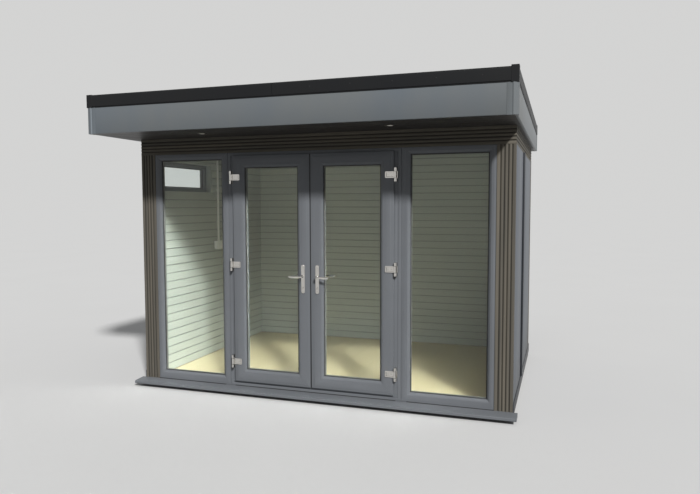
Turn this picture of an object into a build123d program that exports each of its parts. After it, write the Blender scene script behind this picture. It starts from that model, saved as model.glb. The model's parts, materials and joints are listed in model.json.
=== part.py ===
from build123d import *
import os

# A garden office pod in millimetres. +X is to the right and +Z up, seen from the front, and
# +Y runs from the front into the depth. The origin is the centre of the walls' footprint, at
# the level that the base rests on.

# Walls on plan, and the layers that they are made of, from outside to inside.
body_width = 3208.0
body_depth = 2200.0
cladding_thickness = 18.0
core_thickness = 90.0
lining_thickness = 12.0

# Levels.
base_height = 60.0
frames_top = 2039.0
head_band_height = 135.0
soffit_thickness = 16.0
fascia_height = 205.0
edge_trim_height = 101.0
floor_thickness = 18.0
cladding_foot = 120.0
flashing_foot = 40.0

# Roof.
front_overhang = 550.0
rear_overhang = 200.0
left_overhang = 88.0
right_overhang = 42.0
fascia_thickness = 18.0
edge_trim_width = 60.0
edge_trim_lip = 6.0
roof_fall = 36.0
membrane_thickness = 5.0
membrane_rise = 56.0
rear_trim_height = 58.0

# Outer boards.
corner_board_width = 138.0
flute_pitch = 27.6
flute_width = 11.0
flute_depth = 5.0
flute_flare = 2.5
panel_width = 1200.0
joint_strip_width = 40.0
joint_strip_proud = 16.0
joint_tongue_width = 20.0
flashing_proud = 6.0

# Cill.
cill_projection = 120.0
cill_thickness = 30.0
cill_ear = 34.0

# Frames and glass of the windows.
frame_depth = 70.0
frame_setback = 4.0
window_outer_stile = 55.0
window_inner_stile = 69.0
window_head = 51.0
window_foot = 76.0
glass_thickness = 24.0
glass_recess = 24.0
glass_grip = 10.0
high_window_width = 808.0
high_window_height = 282.0
high_window_top = 2007.0
high_window_stile = 46.0
high_window_from_front = 148.0

# Door frame and leaves.
door_frame_width = 1500.0
jamb_width = 70.0
head_bar_height = 41.0
threshold_height = 60.0
leaf_lap = 15.0
leaf_gap = 6.0
flange_thickness = 18.0
leaf_body_depth = 64.0
meeting_gap = 8.0
meeting_setback = 6.0
leaf_stile_face = 108.0
leaf_foot_face = 106.0
leaf_head_face = 101.0
leaf_glass_recess = 20.0

# Hinges.
hinge_low_level = 277.0
hinge_middle_level = 1102.0
hinge_top_level = 1832.0
hinge_axis_out = 14.0
hinge_axis_proud = 11.0
knuckle_radius = 9.0
hinge_height = 108.0
flag_height = 50.0
flag_length = 82.0
flag_thickness = 5.0
pin_radius = 4.0
pin_clearance = 0.3
knuckle_gap = 1.5
bracket_width = 20.0
bracket_gap = 6.0
bracket_relief = 3.0

# Handles.
handle_from_middle = 62.0
handle_level = 1001.0
plate_width = 32.0
plate_height = 236.0
plate_thickness = 8.0
lever_level = 1020.0
cylinder_level = 928.0
cylinder_radius = 8.5
cylinder_proud = 4.0
lever_length = 110.0
lever_height = 18.0
lever_thickness = 10.0
lever_reach = 42.0
lever_boss_radius = 10.0
spindle_radius = 5.0
spindle_clearance = 0.3

# Fittings.
downlight_left = -825.0
downlight_right = 731.0
downlight_from_front = 268.0
downlight_radius = 42.0
downlight_thickness = 4.0
switch_from_front = 1080.0
switch_level = 1190.0
switch_width = 146.0
switch_height = 86.0
switch_depth = 34.0
conduit_radius = 10.0

# Planes on plan, worked out from the sizes above.
front = -body_depth / 2
rear = body_depth / 2
side = body_width / 2
core_side = side - cladding_thickness
core_side_inner = core_side - core_thickness
room_side = core_side_inner - lining_thickness
core_front = front + cladding_thickness
core_front_inner = core_front + core_thickness
core_rear = rear - cladding_thickness
core_rear_inner = core_rear - core_thickness
room_rear = core_rear_inner - lining_thickness
glazed_half = side - corner_board_width
frame_face = front + frame_setback
frame_back = frame_face + frame_depth

# Levels, worked out from the sizes above.
soffit_level = frames_top + head_band_height
deck_level = soffit_level + soffit_thickness
ceiling_level = deck_level - lining_thickness
fascia_top = soffit_level + fascia_height
floor_level = base_height + floor_thickness

# Roof outline.
roof_front = front - front_overhang
roof_rear = rear + rear_overhang
roof_left = -side - left_overhang
roof_right = side + right_overhang

# Door opening and leaves.
door_half = door_frame_width / 2
opening_half = door_half - jamb_width
opening_foot = base_height + threshold_height
opening_head = frames_top - head_bar_height
leaf_edge = opening_half + leaf_lap
leaf_foot = opening_foot - leaf_lap
leaf_top = opening_head + leaf_lap
leaf_back_of_flange = frame_face - leaf_gap
leaf_face = leaf_back_of_flange - flange_thickness
leaf_inner_face = leaf_back_of_flange + leaf_body_depth
leaf_meeting = meeting_gap / 2
hinge_axis_x = leaf_edge + hinge_axis_out
hinge_axis_y = leaf_face - hinge_axis_proud

os.makedirs("parts", exist_ok=True)


def block(x_range, y_range, z_range):
    """A box between two places on each axis, in either order."""
    low = [min(span) for span in (x_range, y_range, z_range)]
    high = [max(span) for span in (x_range, y_range, z_range)]
    size = [high[i] - low[i] for i in range(3)]
    middle = [(high[i] + low[i]) / 2 for i in range(3)]
    return Pos(*middle) * Box(*size)


def upright_rod(x, y, z_range, radius):
    """A round bar that stands between two levels."""
    height = max(z_range) - min(z_range)
    return Pos(x, y, sum(z_range) / 2) * Cylinder(radius, height)


def rod_into_depth(x, z, y_range, radius):
    """A round bar that runs from the front into the depth."""
    length = max(y_range) - min(y_range)
    return Pos(x, sum(y_range) / 2, z) * Rot(90, 0, 0) * Cylinder(radius, length)


def length_along_x(x_range, outline):
    """A straight length that runs along X, from the corners of its outline as (y, z) pairs."""
    face = Plane.YZ * make_face(Polyline(*outline, close=True))
    return Pos(min(x_range), 0, 0) * extrude(face, amount=max(x_range) - min(x_range))


def mirrored(solid):
    """The same piece on the other side of the middle."""
    return mirror(solid, about=Plane.YZ)


def write(node, *solids):
    """Writes one node, of one solid or of several that stand apart."""
    shapes = list(solids)
    whole = shapes[0] if len(shapes) == 1 else Compound(children=shapes)
    export_step(whole, os.path.join("parts", node + ".step"))


def fluted_board(width, thickness, length):
    """A flat board with flutes down its outer face, which looks along -Y.

    It lies from 0 to width along X, from 0 to thickness along Y and from 0 to length along Z.
    """
    count = round(width / flute_pitch)
    pitch = width / count
    outline = [(0, thickness), (0, 0)]
    for index in range(count - 1):
        middle = pitch * (index + 1)
        outline.append((middle - flute_width / 2, 0))
        outline.append((middle - flute_width / 2 + flute_flare, flute_depth))
        outline.append((middle + flute_width / 2 - flute_flare, flute_depth))
        outline.append((middle + flute_width / 2, 0))
    outline.append((width, 0))
    outline.append((width, thickness))
    section = make_face(Polyline(*outline, close=True))
    return extrude(section, amount=length, dir=(0, 0, 1))


def picture_frame(x_range, y_range, z_range, left, right, foot, head):
    """A frame round an opening, with the width of each of its four bars."""
    outer = block(x_range, y_range, z_range)
    opening_x = (min(x_range) + left, max(x_range) - right)
    opening_z = (min(z_range) + foot, max(z_range) - head)
    return outer - block(opening_x, y_range, opening_z)


def glazing_groove(x_range, y_range, z_range):
    """The groove that holds a sheet of glass, a little larger than the opening that shows."""
    x_low, x_high = min(x_range) - glass_grip, max(x_range) + glass_grip
    z_low, z_high = min(z_range) - glass_grip, max(z_range) + glass_grip
    return block((x_low, x_high), y_range, (z_low, z_high))


# Base, cill and floor.
def base_and_floor():
    base = block((-side, side), (front, rear), (0, base_height))
    cill_bed = block((-side, side), (front, frame_back), (base_height - cill_thickness, base_height))
    write("base_frame", base - cill_bed)
    nose = block(
        (-side - cill_ear, side + cill_ear),
        (front - cill_projection, front),
        (base_height - cill_thickness, base_height),
    )
    write("front_cill", nose + cill_bed)
    room_floor = block((-room_side, room_side), (core_front_inner, room_rear), (base_height, floor_level))
    front_floor = block(
        (-glazed_half, glazed_half), (frame_back, core_front_inner), (base_height, floor_level)
    )
    write("floor_boards", room_floor + front_floor)


# Walls.
def high_window_hole(x_range):
    """The opening of the high window through the layers of the left wall."""
    y_front = front + high_window_from_front
    z_range = (high_window_top - high_window_height, high_window_top)
    return block(x_range, (y_front, y_front + high_window_width), z_range)


def side_panels(joint_y, sign):
    """Two flat cladding panels on one side wall, with the joint at a given place along it."""
    x_range = (sign * core_side, sign * side)
    z_range = (cladding_foot, frames_top)
    half_tongue = joint_tongue_width / 2
    first = block(x_range, (core_front, joint_y - half_tongue), z_range)
    second = block(x_range, (joint_y + half_tongue, rear - corner_board_width), z_range)
    return first, second


def wall_cores_and_linings():
    z_core = (base_height, deck_level)
    z_lining = (floor_level, ceiling_level)
    y_core = (core_front_inner, core_rear_inner)
    y_lining = (core_front_inner, room_rear)
    right_core = block((core_side_inner, core_side), y_core, z_core)
    right_lining = block((room_side, core_side_inner), y_lining, z_lining)
    write("right_wall", right_core)
    write("right_lining", right_lining)
    write("left_wall", mirrored(right_core) - high_window_hole((-core_side, -core_side_inner)))
    write("left_lining", mirrored(right_lining) - high_window_hole((-core_side_inner, -room_side)))
    write("back_wall", block((-core_side, core_side), (core_rear_inner, core_rear), z_core))
    write("back_lining", block((-core_side_inner, core_side_inner), (room_rear, core_rear_inner), z_lining))
    post = block((glazed_half, core_side), (core_front, core_front_inner), z_core)
    write("front_corner_posts", post, mirrored(post))
    beam = block((-glazed_half, glazed_half), (core_front, core_front_inner), (frames_top, deck_level))
    write("front_head_beam", beam)
    beam_lining_y = (core_front_inner, core_front_inner + lining_thickness)
    write("head_beam_lining", block((-room_side, room_side), beam_lining_y, (frames_top, ceiling_level)))
    ceiling_z = (ceiling_level, deck_level)
    write("ceiling_lining", block((-core_side_inner, core_side_inner), y_core, ceiling_z))


def cladding():
    """The flat panels, and the strips that cover the joints between them."""
    right_joint = rear - corner_board_width - panel_width - joint_strip_width / 2
    left_joint = core_front + panel_width + joint_strip_width / 2
    back_joints = (-glazed_half / 3, glazed_half / 3)
    half_tongue = joint_tongue_width / 2
    half_strip = joint_strip_width / 2
    z_panel = (cladding_foot, frames_top)

    write("right_cladding", *side_panels(right_joint, 1))
    hole = high_window_hole((-side, -core_side))
    write("left_cladding", *[panel - hole for panel in side_panels(left_joint, -1)])
    outer_panel = block((back_joints[1] + half_tongue, glazed_half), (core_rear, rear), z_panel)
    middle_x = (back_joints[0] + half_tongue, back_joints[1] - half_tongue)
    write("back_cladding", outer_panel, block(middle_x, (core_rear, rear), z_panel), mirrored(outer_panel))

    strips = []
    for sign, joint in ((1, right_joint), (-1, left_joint)):
        cover_x = (sign * side, sign * (side + joint_strip_proud))
        cover = block(cover_x, (joint - half_strip, joint + half_strip), z_panel)
        tongue_y = (joint - half_tongue, joint + half_tongue)
        strips.append(cover + block((sign * core_side, sign * side), tongue_y, z_panel))
    for joint in back_joints:
        cover_x = (joint - half_strip, joint + half_strip)
        cover = block(cover_x, (rear, rear + joint_strip_proud), z_panel)
        tongue_x = (joint - half_tongue, joint + half_tongue)
        strips.append(cover + block(tongue_x, (core_rear, rear), z_panel))
    write("cladding_joint_strips", *strips)


def corner_boards():
    front_board = fluted_board(corner_board_width, cladding_thickness, frames_top - base_height)
    right_front = Pos(glazed_half, front, base_height) * front_board
    write("front_corner_boards", right_front, mirrored(right_front))

    length = frames_top - cladding_foot
    back_board = fluted_board(corner_board_width, cladding_thickness, length)
    on_back = Pos(side, rear, cladding_foot) * Rot(0, 0, 180) * back_board
    side_board = fluted_board(corner_board_width - cladding_thickness, cladding_thickness, length)
    on_side = Pos(side, rear - corner_board_width, cladding_foot) * Rot(0, 0, 90) * side_board
    right_rear = on_back + on_side
    write("rear_corner_boards", right_rear, mirrored(right_rear))


def head_boards():
    """The fluted band that runs round under the soffit."""
    front_band = fluted_board(head_band_height, cladding_thickness, body_width)
    write("front_head_board", Pos(-side, front, soffit_level) * Rot(0, 90, 0) * front_band)
    side_band = fluted_board(head_band_height, cladding_thickness, body_depth - cladding_thickness)
    right_band = Pos(side, core_front, soffit_level) * Rot(0, 0, 90) * Rot(0, 90, 0) * side_band
    write("side_head_boards", right_band, mirrored(right_band))
    back_band = fluted_board(head_band_height, cladding_thickness, 2 * core_side)
    on_back = Pos(core_side, rear, soffit_level) * Rot(0, 0, 180) * Rot(0, 90, 0) * back_band
    write("rear_head_board", on_back)


def foot_flashing():
    """The dark trim that covers the foot of the side and rear walls and hangs over the base."""
    outer = side + flashing_proud
    rear_outer = rear + flashing_proud
    z_run = (base_height, cladding_foot)
    z_skirt = (flashing_foot, cladding_foot)
    right_run = block((core_side, side), (core_front, core_rear), z_run)
    right_skirt = block((side, outer), (front, rear_outer), z_skirt)
    back_run = block((-side, side), (core_rear, rear), z_run)
    back_skirt = block((-outer, outer), (rear, rear_outer), z_skirt)
    right_side = right_run + right_skirt
    write("foot_flashing", right_side + mirrored(right_side) + back_run + back_skirt)


# Windows.
def side_windows():
    x_range = (door_half, glazed_half)
    y_range = (frame_face, frame_back)
    z_range = (base_height, frames_top)
    bars = (window_inner_stile, window_outer_stile, window_foot, window_head)
    frame = picture_frame(x_range, y_range, z_range, *bars)
    seen_x = (door_half + window_inner_stile, glazed_half - window_outer_stile)
    seen_z = (base_height + window_foot, frames_top - window_head)
    glass_y = (frame_face + glass_recess, frame_face + glass_recess + glass_thickness)
    glass = glazing_groove(seen_x, glass_y, seen_z)
    write("right_window_frame", frame - glass)
    write("right_window_glass", glass)
    write("left_window_frame", mirrored(frame - glass))
    write("left_window_glass", mirrored(glass))


def high_window():
    x_outer = -side + frame_setback
    y_front = front + high_window_from_front
    y_range = (y_front, y_front + high_window_width)
    z_range = (high_window_top - high_window_height, high_window_top)
    outer = block((x_outer, x_outer + frame_depth), y_range, z_range)
    seen_y = (y_front + high_window_stile, y_front + high_window_width - high_window_stile)
    seen_z = (z_range[0] + high_window_stile, z_range[1] - high_window_stile)
    hole = block((x_outer, x_outer + frame_depth), seen_y, seen_z)
    glass_x = (x_outer + glass_recess, x_outer + glass_recess + glass_thickness)
    glass_y = (seen_y[0] - glass_grip, seen_y[1] + glass_grip)
    glass_z = (seen_z[0] - glass_grip, seen_z[1] + glass_grip)
    glass = block(glass_x, glass_y, glass_z)
    write("high_window_frame", outer - hole - glass)
    write("high_window_glass", glass)


# Door frame.
def door_frame():
    y_range = (frame_face, frame_back)
    jamb = block((opening_half, door_half), y_range, (base_height, frames_top))
    write("door_jambs", jamb, mirrored(jamb))
    write("door_head", block((-opening_half, opening_half), y_range, (opening_head, frames_top)))
    write("door_threshold", block((-opening_half, opening_half), y_range, (base_height, opening_foot)))


# Hinges. Each has a bracket with two knuckles and the pin on the frame, and a flag with one
# knuckle on the leaf.
def hinge_bracket(level):
    half = hinge_height / 2
    flag_half = flag_height / 2
    bracket_x = (leaf_edge + bracket_gap, leaf_edge + bracket_gap + bracket_width)
    whole = block(bracket_x, (hinge_axis_y, frame_face), (level - half, level + half))
    whole = whole + upright_rod(hinge_axis_x, hinge_axis_y, (level - half, level + half), knuckle_radius)
    relief_front = hinge_axis_y - knuckle_radius
    relief_back = hinge_axis_y + knuckle_radius + bracket_relief
    relief = block(
        (hinge_axis_x - knuckle_radius, max(bracket_x)),
        (relief_front, relief_back),
        (level - flag_half - knuckle_gap, level + flag_half + knuckle_gap),
    )
    pin = upright_rod(hinge_axis_x, hinge_axis_y, (level - half, level + half), pin_radius)
    return whole - relief + pin


def hinge_flag(level):
    flag_half = flag_height / 2
    z_range = (level - flag_half, level + flag_half)
    plate_x = (hinge_axis_x - flag_length, hinge_axis_x - pin_radius)
    plate = block(plate_x, (leaf_face - flag_thickness, leaf_face), z_range)
    knuckle = upright_rod(hinge_axis_x, hinge_axis_y, z_range, knuckle_radius)
    bore = upright_rod(hinge_axis_x, hinge_axis_y, z_range, pin_radius + pin_clearance)
    return plate + knuckle - bore


def hinges():
    levels = (hinge_low_level, hinge_middle_level, hinge_top_level)
    brackets = [hinge_bracket(level) for level in levels]
    flags = [hinge_flag(level) for level in levels]
    write("right_hinge_brackets", *brackets)
    write("left_hinge_brackets", *[mirrored(bracket) for bracket in brackets])
    write("right_hinge_flags", *flags)
    write("left_hinge_flags", *[mirrored(flag) for flag in flags])


# Door leaves. The flange laps over the frame, and the body stands inside the opening.
def door_leaf():
    flange = block((leaf_meeting, leaf_edge), (leaf_face, leaf_back_of_flange), (leaf_foot, leaf_top))
    body = block(
        (leaf_meeting + meeting_setback, opening_half - leaf_gap),
        (leaf_back_of_flange, leaf_inner_face),
        (opening_foot + leaf_gap, opening_head - leaf_gap),
    )
    seen_x = (leaf_meeting + leaf_stile_face, leaf_edge - leaf_stile_face)
    seen_z = (leaf_foot + leaf_foot_face, leaf_top - leaf_head_face)
    opening = block(seen_x, (leaf_face, leaf_inner_face), seen_z)
    glass_front = leaf_face + leaf_glass_recess
    glass = glazing_groove(seen_x, (glass_front, glass_front + glass_thickness), seen_z)
    spindle_way = rod_into_depth(
        handle_from_middle, lever_level, (leaf_face, leaf_inner_face), spindle_radius + 2 * spindle_clearance
    )
    return flange + body - opening - glass - spindle_way, glass


def handle_plate(y_outer, y_inner):
    """A backplate with round ends, on either face of the leaf."""
    half_straight = (plate_height - plate_width) / 2
    straight = block(
        (handle_from_middle - plate_width / 2, handle_from_middle + plate_width / 2),
        (y_outer, y_inner),
        (handle_level - half_straight, handle_level + half_straight),
    )
    ends = [
        rod_into_depth(handle_from_middle, handle_level + offset, (y_outer, y_inner), plate_width / 2)
        for offset in (-half_straight, half_straight)
    ]
    way_radius = spindle_radius + spindle_clearance
    way = rod_into_depth(handle_from_middle, lever_level, (y_outer, y_inner), way_radius)
    return straight + ends[0] + ends[1] - way


def lock_cylinder(y_range):
    return rod_into_depth(handle_from_middle, cylinder_level, y_range, cylinder_radius)


def lever_handle():
    """Both levers of one leaf on their common spindle."""
    outer_plate_face = leaf_face - plate_thickness
    inner_plate_face = leaf_inner_face + plate_thickness
    spindle_ends = (outer_plate_face - lever_reach, inner_plate_face + lever_reach)
    lever = rod_into_depth(handle_from_middle, lever_level, spindle_ends, spindle_radius)
    for plate_face, outward in ((outer_plate_face, -1), (inner_plate_face, 1)):
        boss_start = plate_face + outward * spindle_clearance
        arm_back = plate_face + outward * (lever_reach - lever_thickness)
        arm_front = plate_face + outward * lever_reach
        lever = lever + rod_into_depth(
            handle_from_middle, lever_level, (boss_start, arm_front), lever_boss_radius
        )
        lever = lever + block(
            (handle_from_middle, handle_from_middle + lever_length),
            (arm_back, arm_front),
            (lever_level - lever_height / 2, lever_level + lever_height / 2),
        )
    return lever


def doors():
    leaf, glass = door_leaf()
    outer_y = (leaf_face - plate_thickness, leaf_face)
    inner_y = (leaf_inner_face, leaf_inner_face + plate_thickness)
    outer_cylinder_y = (leaf_face - plate_thickness - cylinder_proud, leaf_face)
    inner_cylinder_y = (leaf_inner_face, leaf_inner_face + plate_thickness + cylinder_proud)
    outer_plate = handle_plate(*outer_y) + lock_cylinder(outer_cylinder_y)
    inner_plate = handle_plate(*inner_y) + lock_cylinder(inner_cylinder_y)
    lever = lever_handle()
    write("right_leaf_frame", leaf)
    write("left_leaf_frame", mirrored(leaf))
    write("right_leaf_glass", glass)
    write("left_leaf_glass", mirrored(glass))
    write("right_handle_plates", outer_plate, inner_plate)
    write("left_handle_plates", mirrored(outer_plate), mirrored(inner_plate))
    write("right_lever", lever)
    write("left_lever", mirrored(lever))


# Roof.
def roof():
    inner_left = roof_left + fascia_thickness
    inner_right = roof_right - fascia_thickness
    inner_front = roof_front + fascia_thickness
    inner_rear = roof_rear - fascia_thickness
    top_left = roof_left + edge_trim_width
    top_right = roof_right - edge_trim_width
    top_front = roof_front + edge_trim_width
    top_rear = roof_rear - edge_trim_width
    trim_left = roof_left - edge_trim_lip
    trim_right = roof_right + edge_trim_lip
    trim_front = roof_front - edge_trim_lip
    trim_rear = roof_rear + edge_trim_lip

    # The roof falls to the rear, and the membrane and the edge trims fall with it.
    def foot(y):
        """Level of the edge trims' lower side."""
        return fascia_top - roof_fall * (y - top_front) / (top_rear - top_front)

    z_trim = (fascia_top, fascia_top + edge_trim_height)
    side_trim_outline = (
        (top_front, foot(top_front)),
        (trim_rear, foot(trim_rear)),
        (trim_rear, foot(trim_rear) + edge_trim_height),
        (top_front, foot(top_front) + edge_trim_height),
    )
    rear_trim_top = foot(trim_rear) + rear_trim_height
    rear_trim_outline = (
        (top_rear, foot(top_rear)),
        (trim_rear, foot(trim_rear)),
        (trim_rear, rear_trim_top),
        (top_rear, rear_trim_top),
    )
    left_trim = length_along_x((trim_left, top_left), side_trim_outline)
    right_trim = length_along_x((top_right, trim_right), side_trim_outline)
    rear_trim = length_along_x((top_left, top_right), rear_trim_outline)
    write("front_edge_trim", block((trim_left, trim_right), (trim_front, top_front), z_trim))
    write("side_edge_trims", left_trim, right_trim)
    write("rear_edge_trim", rear_trim)

    skin_foot_front = foot(top_front) + membrane_rise - membrane_thickness
    skin_foot_rear = foot(top_rear) + membrane_rise - membrane_thickness
    taper_outline = (
        (top_front, fascia_top),
        (top_rear, fascia_top),
        (top_rear, skin_foot_rear),
        (top_front, skin_foot_front),
    )
    skin_outline = (
        (top_front, skin_foot_front),
        (top_rear, skin_foot_rear),
        (top_rear, skin_foot_rear + membrane_thickness),
        (top_front, skin_foot_front + membrane_thickness),
    )
    slab = block((inner_left, inner_right), (inner_front, inner_rear), (deck_level, fascia_top))
    slab = slab - left_trim - right_trim - rear_trim
    write("roof_deck", slab + length_along_x((top_left, top_right), taper_outline))
    write("roof_membrane", length_along_x((top_left, top_right), skin_outline))

    z_soffit = (soffit_level, deck_level)
    soffit = block((inner_left, inner_right), (inner_front, inner_rear), z_soffit)
    write("soffit", soffit - block((-core_side, core_side), (core_front, core_rear), z_soffit))

    side_fascia_outline = (
        (inner_front, soffit_level),
        (inner_rear, soffit_level),
        (inner_rear, foot(inner_rear)),
        (top_front, fascia_top),
        (inner_front, fascia_top),
    )
    rear_fascia_outline = (
        (inner_rear, soffit_level),
        (roof_rear, soffit_level),
        (roof_rear, foot(roof_rear)),
        (inner_rear, foot(inner_rear)),
    )
    z_fascia = (soffit_level, fascia_top)
    left_fascia = length_along_x((roof_left, inner_left), side_fascia_outline)
    right_fascia = length_along_x((inner_right, roof_right), side_fascia_outline)
    write("front_fascia", block((roof_left, roof_right), (roof_front, inner_front), z_fascia))
    write("side_fascias", left_fascia, right_fascia)
    write("rear_fascia", length_along_x((roof_left, roof_right), rear_fascia_outline))

    lamps = []
    for x in (downlight_left, downlight_right):
        z_range = (soffit_level - downlight_thickness, soffit_level)
        lamps.append(upright_rod(x, front - downlight_from_front, z_range, downlight_radius))
    write("downlights", *lamps)


# Electrical fittings on the left wall.
def electrics():
    y = front + switch_from_front
    box_z = (switch_level - switch_height / 2, switch_level + switch_height / 2)
    box_y = (y - switch_width / 2, y + switch_width / 2)
    write("switch_box", block((-room_side, -room_side + switch_depth), box_y, box_z))
    conduit_x = -room_side + conduit_radius
    write("switch_conduit", upright_rod(conduit_x, y, (box_z[1], ceiling_level), conduit_radius))


base_and_floor()
wall_cores_and_linings()
cladding()
corner_boards()
head_boards()
foot_flashing()
side_windows()
high_window()
door_frame()
hinges()
doors()
roof()
electrics()
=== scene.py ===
"""The looks of a garden office pod, built around its fixed frame, in metres.

+X is to the right and +Z up, seen from the front, and +Y runs from the doors into the depth.
"""
import json
import math

import bmesh
import bpy
from bpy.props import FloatProperty, FloatVectorProperty, PointerProperty
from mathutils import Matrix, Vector

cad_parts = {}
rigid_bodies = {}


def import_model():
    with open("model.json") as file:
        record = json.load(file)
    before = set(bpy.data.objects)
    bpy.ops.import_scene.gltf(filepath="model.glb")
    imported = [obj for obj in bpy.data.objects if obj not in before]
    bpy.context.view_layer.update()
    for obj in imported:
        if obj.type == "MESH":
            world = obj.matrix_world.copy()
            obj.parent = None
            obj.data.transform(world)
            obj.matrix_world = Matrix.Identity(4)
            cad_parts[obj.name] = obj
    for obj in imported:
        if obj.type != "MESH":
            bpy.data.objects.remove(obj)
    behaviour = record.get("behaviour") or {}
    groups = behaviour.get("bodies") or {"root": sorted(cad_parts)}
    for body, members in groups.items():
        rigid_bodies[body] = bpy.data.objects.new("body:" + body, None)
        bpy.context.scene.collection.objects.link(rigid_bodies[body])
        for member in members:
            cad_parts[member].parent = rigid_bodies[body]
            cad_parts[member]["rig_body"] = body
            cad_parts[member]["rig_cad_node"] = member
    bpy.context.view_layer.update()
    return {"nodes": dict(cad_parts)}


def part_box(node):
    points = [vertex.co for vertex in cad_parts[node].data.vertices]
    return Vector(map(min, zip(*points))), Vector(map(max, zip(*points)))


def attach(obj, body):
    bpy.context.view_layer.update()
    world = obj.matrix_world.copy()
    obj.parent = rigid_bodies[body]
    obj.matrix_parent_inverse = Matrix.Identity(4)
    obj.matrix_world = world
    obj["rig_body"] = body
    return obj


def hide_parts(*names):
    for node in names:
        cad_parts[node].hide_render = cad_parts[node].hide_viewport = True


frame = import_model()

bl_info = {
    "name": "Garden Office Pod",
    "version": (1, 0, 0),
    "blender": (4, 5, 0),
    "location": "View3D > Sidebar > Garden Pod",
    "description": "Builds the frames, boards, trims, glass and fittings of a garden office pod",
    "category": "Object",
}

LEVEL_X, LEVEL_Y, UPRIGHT = 0, 1, 2
DIRECTIONS = {"level": LEVEL_X, "side": LEVEL_Y, "upright": UPRIGHT}
SMOOTH_ANGLE = math.radians(40)
SHARP_ANGLE = math.radians(30)
FLAT_ANGLE = math.radians(2)
SAME_PLACE = 1e-5
FACING_FRONT = (math.pi / 2, 0, 0)


# Properties that a user would change.
def paint(red, green, blue):
    """A colour as it looks on a screen, from 0 to 255, turned into linear values."""
    shares = [value / 255 for value in (red, green, blue)]
    return [s / 12.92 if s <= 0.04045 else ((s + 0.055) / 1.055) ** 2.4 for s in shares]


def colour(name, description, *default):
    """A colour that is given as it looks on a screen."""
    return FloatVectorProperty(
        name=name, description=description, default=paint(*default),
        subtype="COLOR", size=3, min=0, max=1,
    )


def length(name, description, default, least=0):
    """A length in metres."""
    return FloatProperty(
        name=name, description=description, default=default, min=least,
        unit="LENGTH", subtype="DISTANCE",
    )


def degrees(name, description, default):
    """An angle whose default is given in degrees."""
    return FloatProperty(
        name=name, description=description, default=math.radians(default),
        unit="ROTATION", subtype="ANGLE",
    )


def strength(name, description, default):
    """The strength of a light."""
    return FloatProperty(name=name, description=description, default=default, min=0)


class PodColours(bpy.types.PropertyGroup):
    """Colours of the finishes"""
    foil: colour("Frame foil", "Grained foil on window and door frames", 118, 121, 125)
    composite: colour("Fluted boards", "Boards at the corners and under the soffit", 108, 105, 98)
    fascia: colour("Fascia", "Wide boards round the roof", 108, 113, 117)
    edge_trim: colour("Edge trim", "Trim along the top of the fascia", 23, 24, 26)
    dark_trim: colour("Dark trim", "Joint strips and foot flashing", 40, 43, 48)
    soffit: colour("Soffit", "Boards under the roof's overhang", 36, 33, 31)
    cladding: colour("Cladding", "Flat panels on the sides and rear", 86, 92, 101)
    lining: colour("Lining", "Painted boards inside", 176, 180, 172)
    floor: colour("Floor", "Boards inside", 205, 193, 160)
    rubber: colour("Roof rubber", "Membrane on the roof", 48, 49, 51)
    timber: colour("Base timber", "Stained frame under the floor", 60, 54, 49)
    gasket: colour("Gasket", "Rubber seals", 18, 19, 20)
    chrome: colour("Chrome", "Hinges and handles", 214, 211, 206)
    spacer: colour("Spacer bar", "Bar between the two panes of a unit", 112, 112, 108)
    plastic: colour("White plastic", "Switches and conduit", 232, 232, 228)
    glass: colour("Glass tint", "What one face of a pane lets through", 251, 253, 252)


class PodSizes(bpy.types.PropertyGroup):
    """Sizes of what is added to the solids"""
    frame_round: length("Frame rounding", "Rounded outer edge of a frame bar", 0.005)
    glazing_slope: length("Glazing slope", "Sloped part of a frame bar beside the glass", 0.026)
    edge_slope: length("Edge slope", "Gently sloped part of a leaf beside its outer edge", 0.019)
    bead_round: length("Bead rounding", "Rounded inner edge of a frame bar", 0.010)
    gasket_width: length("Gasket width", "Rubber that shows beside the glass", 0.003)
    pane: length("Pane", "Thickness of one sheet of glass", 0.004)
    spacer_height: length("Spacer height", "Height of the bar between two panes", 0.017)
    edge_round: length("Board rounding", "Eased edges of boards and trims", 0.002)
    flute_pitch: length("Flute pitch", "Distance from flute to flute", 0.0276)
    flute_round: length("Flute rounding", "Eased edges of the flutes", 0.0012)
    matchboard: length("Matchboard", "Height of one board of the lining", 0.075)
    joint_chamfer: length("Joint chamfer", "Chamfer on each side of a board joint", 0.0035)
    floor_board: length("Floor board", "Width of one floor board", 0.19)
    soffit_board: length("Soffit board", "Width of one soffit board", 0.11)
    trim_joint: length("Trim joint", "Place of the joint in the front edge trim", -0.07, least=-1)
    trim_hem: length("Trim hem", "Height of the set-back lower edge of the edge trims", 0.009)
    cap_width: length("Corner cap", "Width of the caps on the corners of the edge trim", 0.05)
    cap_rise: length("Cap rise", "How far the right front cap stands over the trim", 0.009)
    screw_pitch: length("Screw pitch", "Distance between the screws of the edge trim", 0.3)
    corner_strip: length("Corner strip", "Width of the strips on the corners of the fascia", 0.036)


class PodStage(bpy.types.PropertyGroup):
    """Camera and light"""
    place: FloatVectorProperty(
        name="Camera place", description="Where the camera stands", default=(1.930, -5.861, 1.600),
        size=3, unit="LENGTH", subtype="TRANSLATION",
    )
    turn: FloatVectorProperty(
        name="Camera turn", description="How the camera is turned",
        default=(math.radians(86.214), math.radians(0.142), math.radians(18.528)), size=3,
        unit="ROTATION", subtype="EULER",
    )
    lens: FloatProperty(
        name="Lens", description="Focal length on a 36 mm wide sensor", default=32.64, unit="CAMERA"
    )
    key_strength: strength("Key lamp", "Strength of the lamp at the front right", 3.1)
    key_turn: degrees("Key turn", "How far right of the front the key lamp stands", 38)
    key_height: degrees("Key height", "How high over the horizon the key lamp stands", 37)
    key_softness: degrees("Key softness", "Apparent size of the key lamp", 5)
    surroundings: strength("Surroundings", "Strength of the light from all round", 0.25)


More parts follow.
